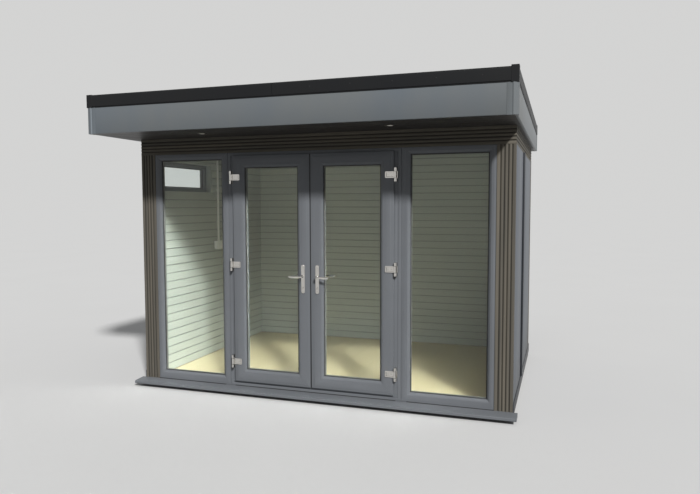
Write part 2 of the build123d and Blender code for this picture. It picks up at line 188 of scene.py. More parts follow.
# Materials.
class Wire:
    """A value in a material, which can be used in sums."""

    def __init__(self, finish, socket):
        self.finish = finish
        self.socket = socket

    def __add__(self, other):
        return self.finish.sum("ADD", self, other)

    def __sub__(self, other):
        return self.finish.sum("SUBTRACT", self, other)

    def __rsub__(self, other):
        return self.finish.sum("SUBTRACT", other, self)

    def __mul__(self, other):
        return self.finish.sum("MULTIPLY", self, other)

    __radd__ = __add__
    __rmul__ = __mul__


class Finish:
    """A material, or the world, while its nodes are put together."""

    def __init__(self, name, kind="materials"):
        self.owner = getattr(bpy.data, kind).new(name)
        self.owner.use_nodes = True
        self.tree = self.owner.node_tree
        self.tree.nodes.clear()

    def node(self, kind, settings=None, inputs=None, output=0):
        """Adds a node. Its settings go in first, then the values or wires of its sockets."""
        made = self.tree.nodes.new(kind)
        for name, value in (settings or {}).items():
            setattr(made, name, value)
        for name, value in (inputs or {}).items():
            if isinstance(value, Wire):
                self.tree.links.new(value.socket, made.inputs[name])
            else:
                made.inputs[name].default_value = value
        return Wire(self, made.outputs[output]) if made.outputs else None

    def sum(self, operation, first, second):
        """One sum of two numbers or wires."""
        return self.node("ShaderNodeMath", {"operation": operation}, {0: first, 1: second})

    def place(self, stretch=(1.0, 1.0, 1.0)):
        """The object's own coordinates, stretched."""
        coordinates = self.node("ShaderNodeTexCoord", output="Object")
        return self.node("ShaderNodeMapping", inputs={"Vector": coordinates, "Scale": stretch})

    def noise(self, place, scale, detail=4.0):
        """Cloudy noise, from 0 to 1."""
        inputs = {"Vector": place, "Scale": scale, "Detail": detail, "Roughness": 0.55}
        return self.node("ShaderNodeTexNoise", inputs=inputs)

    def mix(self, factor, first, second):
        """A colour between two others."""
        inputs = {0: factor, 6: first, 7: second}
        return self.node("ShaderNodeMix", {"data_type": "RGBA"}, inputs, output=2)

    def relief(self, height, depth, strength=1.0):
        """Bumps, for a Normal socket."""
        inputs = {"Height": height, "Distance": depth, "Strength": strength}
        return self.node("ShaderNodeBump", inputs=inputs)

    def ray(self, question):
        """What is known of the ray that meets the surface."""
        return self.node("ShaderNodeLightPath", output=question)

    def surface(self, inputs):
        """Closes the material with a Principled shader."""
        shader = self.node("ShaderNodeBsdfPrincipled", inputs=inputs)
        self.node("ShaderNodeOutputMaterial", inputs={"Surface": shader})


def shade(base, factor):
    """A colour made darker or lighter, with full cover."""
    return [min(1.0, value * factor) for value in base] + [1.0]


def drawn_out(along, fine, coarse):
    """Stretch factors that draw a pattern out along one axis."""
    return [coarse if axis == along else fine for axis in range(3)]


def spread(noise, contrast):
    """Noise stays near its middle, so its contrast is raised about one half."""
    return (noise - 0.5) * contrast + 0.5


def frame_foil(name, base, along):
    """Satin foil with a fine pressed wood grain along the bar."""
    finish = Finish(name)
    clouds = finish.noise(finish.place(), 2.3, 3.0)
    grain = finish.noise(finish.place(drawn_out(along, 340.0, 9.0)), 1.0, 5.0)
    tone = spread(clouds * 0.65 + grain * 0.35, 1.8)
    finish.surface({
        "Base Color": finish.mix(tone, shade(base, 0.90), shade(base, 1.10)),
        "Roughness": 0.33 + grain * 0.22,
        "Normal": finish.relief(grain, 0.0006, 0.5),
        "Specular IOR Level": 0.2,
    })


def weld_line(base):
    """The touched-up weld across a mitre."""
    finish = Finish("Frame weld")
    grain = finish.noise(finish.place(), 60.0)
    finish.surface({
        "Base Color": finish.mix(grain, shade(base, 0.62), shade(base, 0.82)),
        "Roughness": 0.45 + grain * 0.2,
    })


def fluted_composite(name, base, along):
    """Brushed composite board, with brown and grey streaks along its length."""
    finish = Finish(name)
    streaks = finish.noise(finish.place(drawn_out(along, 46.0, 0.9)), 1.0, 6.0)
    brush = finish.noise(finish.place(drawn_out(along, 520.0, 14.0)), 1.0, 4.0)
    brown = [base[0] * 1.06, base[1] * 1.0, base[2] * 0.92]
    tone = finish.mix(spread(streaks, 2.6), shade(base, 0.78), shade(brown, 1.25))
    finish.surface({
        "Base Color": finish.mix(spread(brush, 1.5) * 0.25, tone, shade(base, 0.7)),
        "Roughness": 0.52 + brush * 0.3,
        "Normal": finish.relief(brush + streaks * 0.5, 0.0012, 0.6),
        "Specular IOR Level": 0.12,
    })


def satin_board(name, base, cloud_scale, cool, roughness, sheen=0.5):
    """Smooth board or sheet whose tone drifts between a cooler and a warmer one."""
    finish = Finish(name)
    clouds = finish.noise(finish.place((1.0, 1.0, 0.6)), cloud_scale, 3.0)
    fine = finish.noise(finish.place(), 240.0, 3.0)
    cooler = [base[0] * (1 - cool), base[1], base[2] * (1 + cool)]
    warmer = [base[0] * (1 + cool), base[1] * (1 + cool / 3), base[2] * (1 - cool)]
    finish.surface({
        "Base Color": finish.mix(spread(clouds, 2.4), shade(cooler, 0.95), shade(warmer, 1.05)),
        "Roughness": roughness + clouds * 0.12 + fine * 0.08,
        "Normal": finish.relief(fine + clouds * 4.0, 0.0004, 0.4),
        "Specular IOR Level": sheen,
    })


def cladding_panel(base):
    """Flat coated panel with faint upright streaks and a dusty foot."""
    finish = Finish("Cladding panel")
    streaks = finish.noise(finish.place(drawn_out(UPRIGHT, 30.0, 0.8)), 1.0, 4.0)
    clouds = finish.noise(finish.place(), 1.7, 3.0)
    height = finish.node("ShaderNodeSeparateXYZ", inputs={"Vector": finish.place()}, output=2)
    dust = finish.node("ShaderNodeMapRange", inputs={
        "Value": height + clouds * 0.2, "From Min": 0.15, "From Max": 0.55, "To Min": 0.3, "To Max": 0.0,
    })
    tone = finish.mix(spread(clouds * 0.6 + streaks * 0.4, 2.2), shade(base, 0.88), shade(base, 1.10))
    finish.surface({
        "Base Color": finish.mix(dust, tone, paint(128, 124, 114) + [1.0]),
        "Roughness": 0.36 + streaks * 0.18 + dust * 0.4,
        "Normal": finish.relief(streaks, 0.0005, 0.3),
    })


def painted_boards(name, base, along):
    """Matt paint brushed along the boards, each board a shade of its own."""
    finish = Finish(name)
    brush = finish.noise(finish.place(drawn_out(along, 260.0, 5.0)), 1.0, 4.0)
    boards = finish.noise(finish.place(drawn_out(along, 13.3, 0.5)), 1.0, 1.0)
    tone = spread(boards * 0.6 + brush * 0.4, 1.6)
    finish.surface({
        "Base Color": finish.mix(tone, shade(base, 0.93), shade(base, 1.03)),
        "Roughness": 0.55 + brush * 0.2,
        "Normal": finish.relief(brush, 0.0006, 0.5),
    })


def floor_finish(base):
    """Pale boards with a soft grain."""
    finish = Finish("Floor boards")
    grain = finish.noise(finish.place(drawn_out(LEVEL_Y, 34.0, 1.6)), 1.0, 6.0)
    lines = finish.noise(finish.place(drawn_out(LEVEL_Y, 210.0, 3.0)), 1.0, 3.0)
    boards = finish.noise(finish.place((5.26, 0.0, 0.0)), 1.0, 0.0)
    warm = [base[0] * 1.02, base[1] * 0.96, base[2] * 0.86]
    tone = finish.mix(spread(grain * 0.6 + boards * 0.4, 2.0), shade(warm, 0.93), shade(base, 1.05))
    finish.surface({
        "Base Color": finish.mix(spread(lines, 2.0) * 0.25, tone, shade(warm, 0.82)),
        "Roughness": 0.34 + grain * 0.16,
        "Normal": finish.relief(lines, 0.0004, 0.4),
    })


def roof_rubber(base):
    """Matt rubber with dust where water has stood."""
    finish = Finish("Roof rubber")
    ponds = finish.noise(finish.place(), 1.3, 5.0)
    speckle = finish.noise(finish.place(), 330.0, 2.0)
    dust = spread(ponds, 2.4) * 0.2
    finish.surface({
        "Base Color": finish.mix(dust, shade(base, 0.95), paint(122, 119, 112) + [1.0]),
        "Roughness": 0.62 + ponds * 0.25,
        "Normal": finish.relief(speckle + ponds * 6.0, 0.0008, 0.5),
    })


def rough_timber(name, base, along):
    """Sawn timber with its grain along one axis."""
    finish = Finish(name)
    grain = finish.noise(finish.place(drawn_out(along, 90.0, 2.0)), 1.0, 6.0)
    saw = finish.noise(finish.place(drawn_out(along, 20.0, 260.0)), 1.0, 2.0)
    finish.surface({
        "Base Color": finish.mix(spread(grain, 2.2), shade(base, 0.62), shade(base, 1.3)),
        "Roughness": 0.72 + grain * 0.2,
        "Normal": finish.relief(grain + saw * 0.4, 0.0014, 0.7),
    })


def polished_metal(name, base, roughness):
    """Plated metal with faint smears."""
    finish = Finish(name)
    smears = finish.noise(finish.place(), 38.0, 5.0)
    fine = finish.noise(finish.place(), 900.0, 2.0)
    finish.surface({
        "Base Color": finish.mix(spread(smears, 2.0), shade(base, 0.90), shade(base, 1.0)),
        "Metallic": 1.0,
        "Roughness": roughness + smears * 0.10,
        "Normal": finish.relief(fine, 0.00005, 0.3),
    })


def moulded(name, base, roughness, coat=0.0):
    """Moulded plastic or rubber with a very fine texture."""
    finish = Finish(name)
    texture = finish.noise(finish.place(), 700.0, 3.0)
    drift = finish.noise(finish.place(), 9.0, 3.0)
    finish.surface({
        "Base Color": finish.mix(spread(drift, 1.6), shade(base, 0.94), shade(base, 1.04)),
        "Roughness": roughness + texture * 0.12,
        "Normal": finish.relief(texture, 0.0002, 0.3),
        "Coat Weight": coat,
        "Coat Roughness": 0.15,
    })


def clear_glass(base):
    """Clear glass that lets the lamps light what is behind it."""
    finish = Finish("Glazing")
    glass = finish.node("ShaderNodeBsdfPrincipled", inputs={
        "Base Color": shade(base, 1.0),
        "Roughness": 0.0,
        "IOR": 1.25,
        "Transmission Weight": 1.0,
    })
    open_way = finish.node("ShaderNodeBsdfTransparent", inputs={"Color": shade(base, 1.0)})
    from_lamp = finish.ray("Is Shadow Ray")
    mixed = finish.node("ShaderNodeMixShader", inputs={0: from_lamp, 1: glass, 2: open_way})
    finish.node("ShaderNodeOutputMaterial", inputs={"Surface": mixed})


def frosted_lens():
    """The pale lens of a downlight, a little bright in the middle of the ring: its faint glow is a
    painted glint.
    """
    finish = Finish("Lamp lens")
    dimples = finish.node("ShaderNodeTexVoronoi", inputs={"Vector": finish.place(), "Scale": 260.0})
    finish.surface({
        "Base Color": finish.mix(dimples, [0.86, 0.85, 0.80, 1.0], [0.62, 0.61, 0.58, 1.0]),
        "Roughness": 0.18 + dimples * 0.2,
        "Normal": finish.relief(dimples, 0.0006, 0.6),
        # Painted glint: a faint warm glow on the lens.
        "Emission Color": [1.0, 0.95, 0.86, 1.0],
        "Emission Strength": 0.25,
    })


def make_finishes(colours):
    """Makes every material, the grained ones once for each direction of their grain."""
    # Painted shade: the grooves of the flutes get a darker copy of the board's colour.
    groove = [value * 0.45 for value in colours.composite]
    for name, along in DIRECTIONS.items():
        frame_foil(f"Frame foil {name}", colours.foil, along)
        fluted_composite(f"Fluted board {name}", colours.composite, along)
        fluted_composite(f"Fluted groove {name}", groove, along)
        painted_boards(f"Lining {name}", colours.lining, along)
    # Painted shade: a darker copy of the lining paint for the joints between the boards.
    painted_boards("Lining joint", [value * 0.68 for value in colours.lining], LEVEL_X)
    weld_line(colours.foil)
    satin_board("Fascia", colours.fascia, 2.1, 0.05, 0.30)
    # Painted highlight: a lighter copy of the fascia for slopes of the corner strips.
    satin_board("Fascia edge", [value * 1.4 for value in colours.fascia], 2.1, 0.05, 0.30)
    satin_board("Edge trim", colours.edge_trim, 3.0, 0.04, 0.36, 0.25)
    satin_board("Dark trim", colours.dark_trim, 4.0, 0.04, 0.34)
    satin_board("Soffit board", colours.soffit, 2.6, 0.05, 0.40)
    cladding_panel(colours.cladding)
    floor_finish(colours.floor)
    roof_rubber(colours.rubber)
    rough_timber("Base timber", colours.timber, LEVEL_X)
    rough_timber("Wall core", paint(176, 146, 106), UPRIGHT)
    polished_metal("Chrome", colours.chrome, 0.07)
    polished_metal("Satin metal", paint(104, 102, 99), 0.34)
    polished_metal("Dark metal", paint(70, 70, 72), 0.35)
    satin_board("Spacer bar", colours.spacer, 9.0, 0.02, 0.40)
    moulded("Gasket", colours.gasket, 0.55)
    moulded("White plastic", colours.plastic, 0.26, 0.2)
    clear_glass(colours.glass)
    frosted_lens()


# Modelling helpers.
def clear_selection():
    """Leaves edit mode and selects nothing."""
    active = bpy.context.view_layer.objects.active
    if active is not None and active.mode != "OBJECT":
        bpy.ops.object.mode_set(mode="OBJECT")
    bpy.ops.object.select_all(action="DESELECT")


def choose(*pieces):
    """Selects pieces, the last one active."""
    clear_selection()
    for piece in pieces:
        piece.select_set(True)
    bpy.context.view_layer.objects.active = pieces[-1]


def named(piece, name):
    """Names a piece and its mesh."""
    piece.name = name
    piece.data.name = name
    return piece


def begin(name, add, **settings):
    """Adds a primitive and settles its place into its mesh."""
    clear_selection()
    add(**settings)
    piece = named(bpy.context.object, name)
    bpy.ops.object.transform_apply(location=True, rotation=True, scale=True)
    return piece


def begin_plane(name, centre, tilt, extent):
    """Adds a rectangle with the given extent along the three axes, and leaves it open."""
    piece = begin(name, bpy.ops.mesh.primitive_plane_add, size=1.0, location=centre, rotation=tilt)
    edit(piece, "SELECT")
    bpy.ops.transform.resize(value=extent, center_override=centre)
    return piece


def begin_disc(name, centre, tilt, radius, sides, fill="NGON"):
    """Adds a flat disc, or its rim alone."""
    add = bpy.ops.mesh.primitive_circle_add
    return begin(name, add, vertices=sides, radius=radius, fill_type=fill, location=centre, rotation=tilt)


def begin_block(name, low, high):
    """Adds a block between two corners."""
    low, high = Vector(low), Vector(high)
    add = bpy.ops.mesh.primitive_cube_add
    return begin(name, add, size=1.0, location=(low + high) / 2, scale=high - low)


def edit(piece, action="DESELECT"):
    """Opens a piece with none of it selected, or all of it."""
    choose(piece)
    bpy.ops.object.mode_set(mode="EDIT")
    bpy.ops.mesh.select_mode(type="VERT")
    bpy.ops.mesh.select_all(action=action)


def middle_of(part):
    """The middle of a vertex, an edge or a face."""
    corners = [vertex.co for vertex in getattr(part, "verts", [part])]
    return sum(corners, Vector()) / len(corners)


def length_along(edge, axis):
    """How far an edge runs along an axis."""
    first, second = [vertex.co[axis] for vertex in edge.verts]
    return abs(first - second)


def pick(piece, kind, test):
    """Selects the vertices, edges or faces of the open piece that pass a test."""
    bpy.ops.mesh.select_mode(type=kind)
    bpy.ops.mesh.select_all(action="DESELECT")
    mesh = bmesh.from_edit_mesh(piece.data)
    for part in {"VERT": mesh.verts, "EDGE": mesh.edges, "FACE": mesh.faces}[kind]:
        if test(part):
            part.select_set(True)
    mesh.select_flush_mode()
    bmesh.update_edit_mesh(piece.data)


def close_up(piece):
    """Merges doubles, turns the faces outwards and leaves edit mode."""
    bpy.ops.mesh.select_all(action="SELECT")
    bpy.ops.mesh.remove_doubles(threshold=SAME_PLACE)
    bpy.ops.mesh.normals_make_consistent(inside=False)
    bpy.ops.object.mode_set(mode="OBJECT")
    choose(piece)
    bpy.ops.object.shade_smooth_by_angle(angle=SMOOTH_ANGLE)
    return piece


def modify(piece, kind, **settings):
    """Adds a modifier and applies it."""
    choose(piece)
    bpy.ops.object.modifier_add(type=kind)
    modifier = piece.modifiers[-1]
    for name, value in settings.items():
        setattr(modifier, name, value)
    bpy.ops.object.modifier_apply(modifier=modifier.name)
    return piece


def ease(piece, width, segments=2):
    """Rounds the sharp edges of a piece."""
    limits = {"limit_method": "ANGLE", "angle_limit": SHARP_ANGLE}
    modify(piece, "BEVEL", width=width, segments=segments, **limits)
    bpy.ops.object.shade_smooth_by_angle(angle=SMOOTH_ANGLE)
    return piece


def eased_block(name, low, high, rounding, segments=2):
    """A block between two corners, with its edges rounded."""
    return ease(begin_block(name, low, high), rounding, segments)


def joined(name, pieces):
    """Joins pieces into one."""
    choose(*pieces)
    if len(pieces) > 1:
        bpy.ops.object.join()
    return named(bpy.context.object, name)


def copied(piece, name, scale, about=(0, 0, 0)):
    """A copy with its own mesh, mirrored about a point where a scale is negative."""
    choose(piece)
    bpy.ops.object.duplicate()
    copy = named(bpy.context.object, name)
    edit(copy, "SELECT")
    bpy.ops.transform.resize(value=scale, center_override=about)
    bpy.ops.mesh.normals_make_consistent(inside=False)
    bpy.ops.object.mode_set(mode="OBJECT")
    return copy


def mirrored(piece, name):
    """The same piece on the other side of the middle."""
    return copied(piece, name, (-1, 1, 1))


def moulding(name, axis, span, outline):
    """A straight length of one section along an axis. The outline's first side runs along the
    first of the two other axes."""
    run = "XYZ".index(axis)
    first, second = [index for index in range(3) if index != run]

    def spot(point, along):
        place = Vector()
        place[run] = along
        place[first], place[second] = point
        return place

    start, turn = outline[:2]
    centre = spot(((start[0] + turn[0]) / 2, start[1]), sum(span) / 2)
    extent = Vector((1, 1, 1))
    extent[run], extent[first] = abs(span[1] - span[0]), abs(turn[0] - start[0])
    tilt = FACING_FRONT if axis == "Z" else (0, 0, 0)
    piece = begin_plane(name, centre, tilt, extent)
    corner = spot(turn, sum(span) / 2)
    pick(piece, "EDGE", lambda edge: (middle_of(edge) - corner).length < SAME_PLACE)
    for here, there in zip(outline[1:], outline[2:] + outline[:1]):
        step = spot(there, 0) - spot(here, 0)
        bpy.ops.mesh.extrude_edges_move(TRANSFORM_OT_translate={"value": step})
    bpy.ops.mesh.select_all(action="SELECT")
    bpy.ops.mesh.remove_doubles(threshold=SAME_PLACE)
    for end in span:
        pick(piece, "EDGE", lambda edge: all(abs(v.co[run] - end) < SAME_PLACE for v in edge.verts))
        bpy.ops.mesh.edge_face_add()
    return close_up(piece)


def turned(name, axis, centre, profile, sides=32):
    """A round piece. The profile's points are (radius, place along the axis). One that comes
    back to its first point makes a ring."""
    way = Vector([float(letter == axis) for letter in "XYZ"])
    tilt = {"X": (0, math.pi / 2, 0), "Y": (-math.pi / 2, 0, 0), "Z": (0, 0, 0)}[axis]
    centre = Vector(centre)
    is_ring = profile[0] == profile[-1]
    start, fill = centre + way * profile[0][1], "NOTHING" if is_ring else "NGON"
    piece = begin_disc(name, start, tilt, profile[0][0], sides, fill)
    edit(piece, "SELECT")
    extrude = bpy.ops.mesh.extrude_edges_move if is_ring else bpy.ops.mesh.extrude_region_move
    for (radius, place), (next_radius, next_place) in zip(profile, profile[1:]):
        extrude(TRANSFORM_OT_translate={"value": way * (next_place - place)})
        growth = next_radius / radius
        bpy.ops.transform.resize(value=(growth,) * 3, center_override=centre + way * next_place)
    return close_up(piece)


def grown(rectangle, distance):
    """A rectangle (left, right, foot, head) with each side moved out."""
    left, right, foot, head = rectangle
    return left - distance, right + distance, foot - distance, head + distance


def mitred_ring(name, loops):
    """A frame with mitred corners. Each loop is a rectangle (left, right, foot, head) and its
    place in the depth. The last loop joins the first one."""
    def centre_of(loop):
        (left, right, foot, head), depth = loop
        return Vector(((left + right) / 2, depth, (foot + head) / 2))

    def size_of(loop):
        left, right, foot, head = loop[0]
        return right - left, head - foot

    width, height = size_of(loops[0])
    piece = begin_plane(name, centre_of(loops[0]), FACING_FRONT, (width, 1, height))
    bpy.ops.mesh.delete(type="ONLY_FACE")
    bpy.ops.mesh.select_all(action="SELECT")
    for here, there in zip(loops, loops[1:] + loops[:1]):
        move = centre_of(there) - centre_of(here)
        bpy.ops.mesh.extrude_edges_move(TRANSFORM_OT_translate={"value": move})
        (width, height), (next_width, next_height) = size_of(here), size_of(there)
        stretch = (next_width / width, 1, next_height / height)
        bpy.ops.transform.resize(value=stretch, center_override=centre_of(there))
    return close_up(piece)


def rounded_front(rectangle, face, back, radius):
    """Loops round the outside of a frame: its back edge, then its rounded front edge."""
    steps = 3
    loops = [(rectangle, back)]
    for index in range(steps + 1):
        angle = math.pi / 2 * index / steps
        inward = radius * (1 - math.cos(angle))
        loops.append((grown(rectangle, -inward), face + radius * (1 - math.sin(angle))))
    return loops


def finish_piece(piece, material, slot, *replaces, body="pod"):
    """Gives a piece its finish, and ties it to the frame."""
    piece.data.materials.clear()
    piece.data.materials.append(bpy.data.materials[material])
    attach(piece, body)
    if replaces:
        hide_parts(*replaces)
    return piece


def eased_solid(node, name, rounding, material, slot):
    """A copy of a solid of the frame, merged, with its edges eased, in its finish."""
    choose(frame["nodes"][node])
    bpy.ops.object.duplicate()
    piece = named(bpy.context.object, name)
    piece.parent = None
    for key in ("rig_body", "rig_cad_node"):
        del piece[key]
    edit(piece, "SELECT")
    bpy.ops.mesh.remove_doubles(threshold=SAME_PLACE)
    bpy.ops.mesh.dissolve_limited(angle_limit=FLAT_ANGLE)
    bpy.ops.object.mode_set(mode="OBJECT")
    return finish_piece(ease(piece, rounding), material, slot, node)


# Frames and glass.
GLASS_GRIP = 0.010
WELD_WIDTH = 0.0012


def face_range(node):
    """(left, right, foot, head) and (front, back) of a node that stands across the depth."""
    low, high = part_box(node)
    return (low.x, high.x, low.z, high.z), (low.y, high.y)


def side_range(node):
    """The same for a node of the left wall, drawn as if it stood across the depth."""
    low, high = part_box(node)
    return (-high.y, -low.y, low.z, high.z), (low.x, high.x)


def is_mitre(edge):
    """True for an edge that runs slantwise across the frame's corner."""
    shortest_mitre = 0.004
    return min(length_along(edge, LEVEL_X), length_along(edge, UPRIGHT)) > shortest_mitre


def bar_of(corners):
    """0 for a stile's face, 1 for a rail's and 2 for a weld's."""
    sides = [(corners[index] - corners[index - 1]) for index in range(len(corners))]
    longest = max(sides, key=lambda side: side.length)
    if min(abs(longest.x), abs(longest.z)) > WELD_WIDTH:
        return 2
    return 1 if abs(longest.x) > abs(longest.z) else 0


def finish_frame(piece, *replaces, body="pod", rails="level"):
    """Gives a mitred frame its foil, with the grain along each bar, and marks its welds."""
    finish_piece(piece, "Frame foil upright", "frame_foil", *replaces, body=body)
    edit(piece)
    pick(piece, "EDGE", is_mitre)
    bpy.ops.mesh.bevel(
        offset=WELD_WIDTH, offset_type="WIDTH", segments=1, affect="EDGES", clamp_overlap=True
    )
    bpy.ops.object.mode_set(mode="OBJECT")
    for material in (f"Frame foil {rails}", "Frame weld"):
        piece.data.materials.append(bpy.data.materials[material])
    for face in piece.data.polygons:
        face.material_index = bar_of([piece.data.vertices[index].co for index in face.vertices])


def sloped_edge(rectangle, face, back, sizes):
    """Loops round the outside of a leaf: back edge, rounded front edge and a gentle slope to the face."""
    fall, run_out = 0.0022, 0.003
    inward = sizes.frame_round + sizes.edge_slope
    loops = rounded_front(rectangle, face + fall, back, sizes.frame_round)
    loops.append((grown(rectangle, -inward), face + fall * 0.15))
    loops.append((grown(rectangle, -inward - run_out), face))
    return loops


def sloped_land(sight, face, glass_face, sizes):
    """Loops from the face of a bar down to the glass: a fine groove, a swept slope and a steep lip."""
    slope, groove, lip = sizes.glazing_slope, 0.0014, 0.002
    drop = glass_face - lip - face
    cut = [(2.5, 0.0), (1.8, 1.0), (0.8, 1.0), (0.0, 0.3)]
    sweep = [(0.80, 0.12), (0.52, 0.34), (0.26, 0.58), (0.10, 0.78), (0.0, 1.0)]
    loops = [(grown(sight, slope + groove * out), face + groove * deep) for out, deep in cut]
    return loops + [(grown(sight, slope * out), face + drop * deep) for out, deep in sweep]


def glazed_frame_loops(outer, depth, glass, glass_depth, sizes, lap=None):
    """Loops of a frame with a sloped land outside, a groove for the glass and a rounded bead inside.
    A lap is (rectangle, depth): there the outside steps in from the flange to the body."""
    front, back = depth
    glass_front, glass_back = glass_depth
    sight = grown(glass, -GLASS_GRIP)
    if lap:
        body, flange_back = lap
        loops = sloped_edge(outer, front, flange_back, sizes)
    else:
        body, flange_back = outer, back
        loops = rounded_front(outer, front, flange_back, sizes.frame_round * 0.7)
    loops += sloped_land(sight, front, glass_front, sizes)
    loops += [(sight, glass_front), (glass, glass_front), (glass, glass_back), (sight, glass_back)]
    bead = [(0.0, 1.6), (0.15, 0.9), (0.5, 0.35), (1.2, 0.0)]
    radius = sizes.bead_round
    loops += [(grown(sight, radius * out), back - radius * deep) for out, deep in bead]
    loops.append((body, back))
    if lap:
        loops.append((body, flange_back))
    return loops


def glazing_unit(name, glass, glass_depth, sizes, body):
    """Two panes with a bar between them, and the gaskets on both sides."""
    front, back = glass_depth
    near, far = front + sizes.pane, back - sizes.pane
    left, right, foot, head = glass
    panes = [
        eased_block(name, (left, start, foot), (right, end, head), 0.0008, 1)
        for start, end in ((front, near), (far, back))
    ]
    finish_piece(joined(f"{name}_panes", panes), "Glazing", "glazing", f"{name}_glass", body=body)

    flat, ridge = 0.003, 0.0015
    outside, inside = grown(glass, -0.002), grown(glass, -sizes.spacer_height)
    bar = mitred_ring(f"{name}_spacer", [
        (outside, near), (inside, near), (inside, near + flat), (grown(inside, ridge), (near + far) / 2),
        (inside, far - flat), (inside, far), (outside, far),
    ])
    finish_piece(bar, "Spacer bar", "lamp_ring", body=body)

    sight = grown(glass, -GLASS_GRIP)
    heel, tip = grown(sight, 0.003), grown(sight, -sizes.gasket_width)
    lips = []
    for plane, outward in ((front, -1), (back, 1)):
        lips.append(mitred_ring(name, [
            (heel, plane), (heel, plane + outward * 0.0015), (sight, plane + outward * 0.0035),
            (tip, plane + outward * 0.0008), (tip, plane),
        ]))
    finish_piece(joined(f"{name}_gaskets", lips), "Gasket", "frame_foil", body=body)


def glazed_frame(name, range_of, sizes, body="pod", lap=None, rails="level"):
    """A whole window or leaf: its frame, panes, spacer bar and gaskets."""
    outer, depth = range_of(f"{name}_frame")
    glass, glass_depth = range_of(f"{name}_glass")
    loops = glazed_frame_loops(outer, depth, glass, glass_depth, sizes, lap)
    finish_frame(mitred_ring(f"{name}_surround", loops), f"{name}_frame", body=body, rails=rails)
    glazing_unit(name, glass, glass_depth, sizes, body)


class POD_OT_finishes(bpy.types.Operator):
    """Makes the materials from the chosen colours"""
    bl_idname = "pod.finishes"
    bl_label = "Finishes"

    def execute(self, context):
        make_finishes(context.scene.pod_colours)
        return {"FINISHED"}


class POD_OT_side_windows(bpy.types.Operator):
    """Makes the tall windows on both sides of the doors"""
    bl_idname = "pod.side_windows"
    bl_label = "Side windows"

    def execute(self, context):
        for hand in ("left", "right"):
            glazed_frame(f"{hand}_window", face_range, context.scene.pod_sizes)
        return {"FINISHED"}


class POD_OT_high_window(bpy.types.Operator):
    """Makes the long high window in the left wall, with its reveal"""
    bl_idname = "pod.high_window"
    bl_label = "High window"

    def execute(self, context):
        others = set(bpy.data.objects.keys())
        glazed_frame("high_window", side_range, context.scene.pod_sizes, rails="side")
        outer, (_, start) = side_range("high_window_frame")
        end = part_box("left_lining")[1].x
        board, trim_width, trim = 0.006, 0.018, 0.004
        reveal = mitred_ring("high_window_reveal", [
            (outer, start), (grown(outer, -board), start), (grown(outer, -board), end + trim),
            (grown(outer, trim_width), end + trim), (grown(outer, trim_width), end), (outer, end),
        ])
        finish_piece(reveal, "Lining side", "wall_lining")
        for piece in bpy.data.objects:
            if piece.name not in others:
                quarter_turn(piece)
        return {"FINISHED"}


def quarter_turn(piece):
    """Turns a piece that looks along -Y so that it looks along -X, about the upright axis."""
    for vertex in piece.data.vertices:
        x, y, z = vertex.co
        vertex.co = (y, -x, z)
    piece.data.update()


class POD_OT_door_frame(bpy.types.Operator):
    """Makes the frame round the pair of doors, and its seal"""
    bl_idname = "pod.door_frame"
    bl_label = "Door frame"

    def execute(self, context):
        sizes = context.scene.pod_sizes
        outer, (front, back) = face_range("door_jambs")
        head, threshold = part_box("door_head"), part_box("door_threshold")
        opening = (head[0].x, head[1].x, threshold[1].z, head[0].z)
        middle = (outer[1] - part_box("right_leaf_frame")[1].x) / 2
        line, chamfer, bead = 0.0015, 0.002, 0.003
        loops = rounded_front(outer, front, back, sizes.frame_round * 0.6)
        loops += [
            (grown(outer, line - middle), front), (grown(outer, -middle), front + 2 * line),
            (grown(outer, -middle - line), front), (grown(opening, chamfer), front),
            (opening, front + chamfer), (opening, back - bead), (grown(opening, bead), back),
        ]
        surround = mitred_ring("door_surround", loops)
        finish_frame(surround, "door_jambs", "door_head", "door_threshold")
        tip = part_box("right_leaf_glass")[0].y - 0.0016
        seal = mitred_ring("door_seal", [
            (grown(opening, 0.001), front), (grown(opening, 0.011), front),
            (grown(opening, 0.009), tip), (grown(opening, 0.003), tip),
        ])
        finish_piece(seal, "Gasket", "frame_foil")
        return {"FINISHED"}


class POD_OT_door_leaves(bpy.types.Operator):
    """Makes both glazed leaves, each with a flange that laps over the frame"""
    bl_idname = "pod.door_leaves"
    bl_label = "Door leaves"

    def execute(self, context):
        head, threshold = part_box("door_head"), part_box("door_threshold")
        frame_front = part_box("door_jambs")[0].y
        gap, meeting = 0.006, 0.010
        for hand, sign in (("left", -1), ("right", 1)):
            near, far = sorted((sign * meeting, sign * (head[1].x - gap)))
            body = (near, far, threshold[1].z + gap, head[0].z - gap)
            lap = (body, frame_front - gap)
            glazed_frame(f"{hand}_leaf", face_range, context.scene.pod_sizes, f"{hand}_door", lap)
        low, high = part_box("left_leaf_frame")
        strip = moulding("meeting_seal", "Z", (low.z + 0.004, high.z - 0.004), [
            (high.x, low.y + 0.014), (high.x + 0.005, low.y + 0.014), (high.x + 0.0065, low.y + 0.011),
            (high.x + 0.0055, low.y + 0.008), (high.x, low.y + 0.0055),
        ])
        finish_piece(strip, "Gasket", "frame_foil", body="left_door")
        return {"FINISHED"}


# Hardware.
def knuckle(name, axis, span, radius):
    """A length of hinge barrel with eased ends."""
    foot, head = span
    ease_by = radius * 0.16
    return turned(name, "Z", (*axis, 0), [
        (radius - ease_by, foot), (radius, foot + ease_by), (radius, head - ease_by),
        (radius - ease_by, head),
    ], 28)


def screw_head(name, axis, centre, radius, proud):
    """A countersunk head with a shallow dish for the driver."""
    return turned(name, axis, centre, [
        (radius, 0), (radius, proud * 0.5), (radius * 0.8, proud), (radius * 0.45, proud),
        (radius * 0.36, proud * 0.4),
    ], 16)


def fitting_screw(name, centre):
    """A screw that looks along -Y, let into the plate that it holds."""
    radius, proud = 0.0042, -0.0016
    return screw_head(name, "Y", centre, radius, proud)


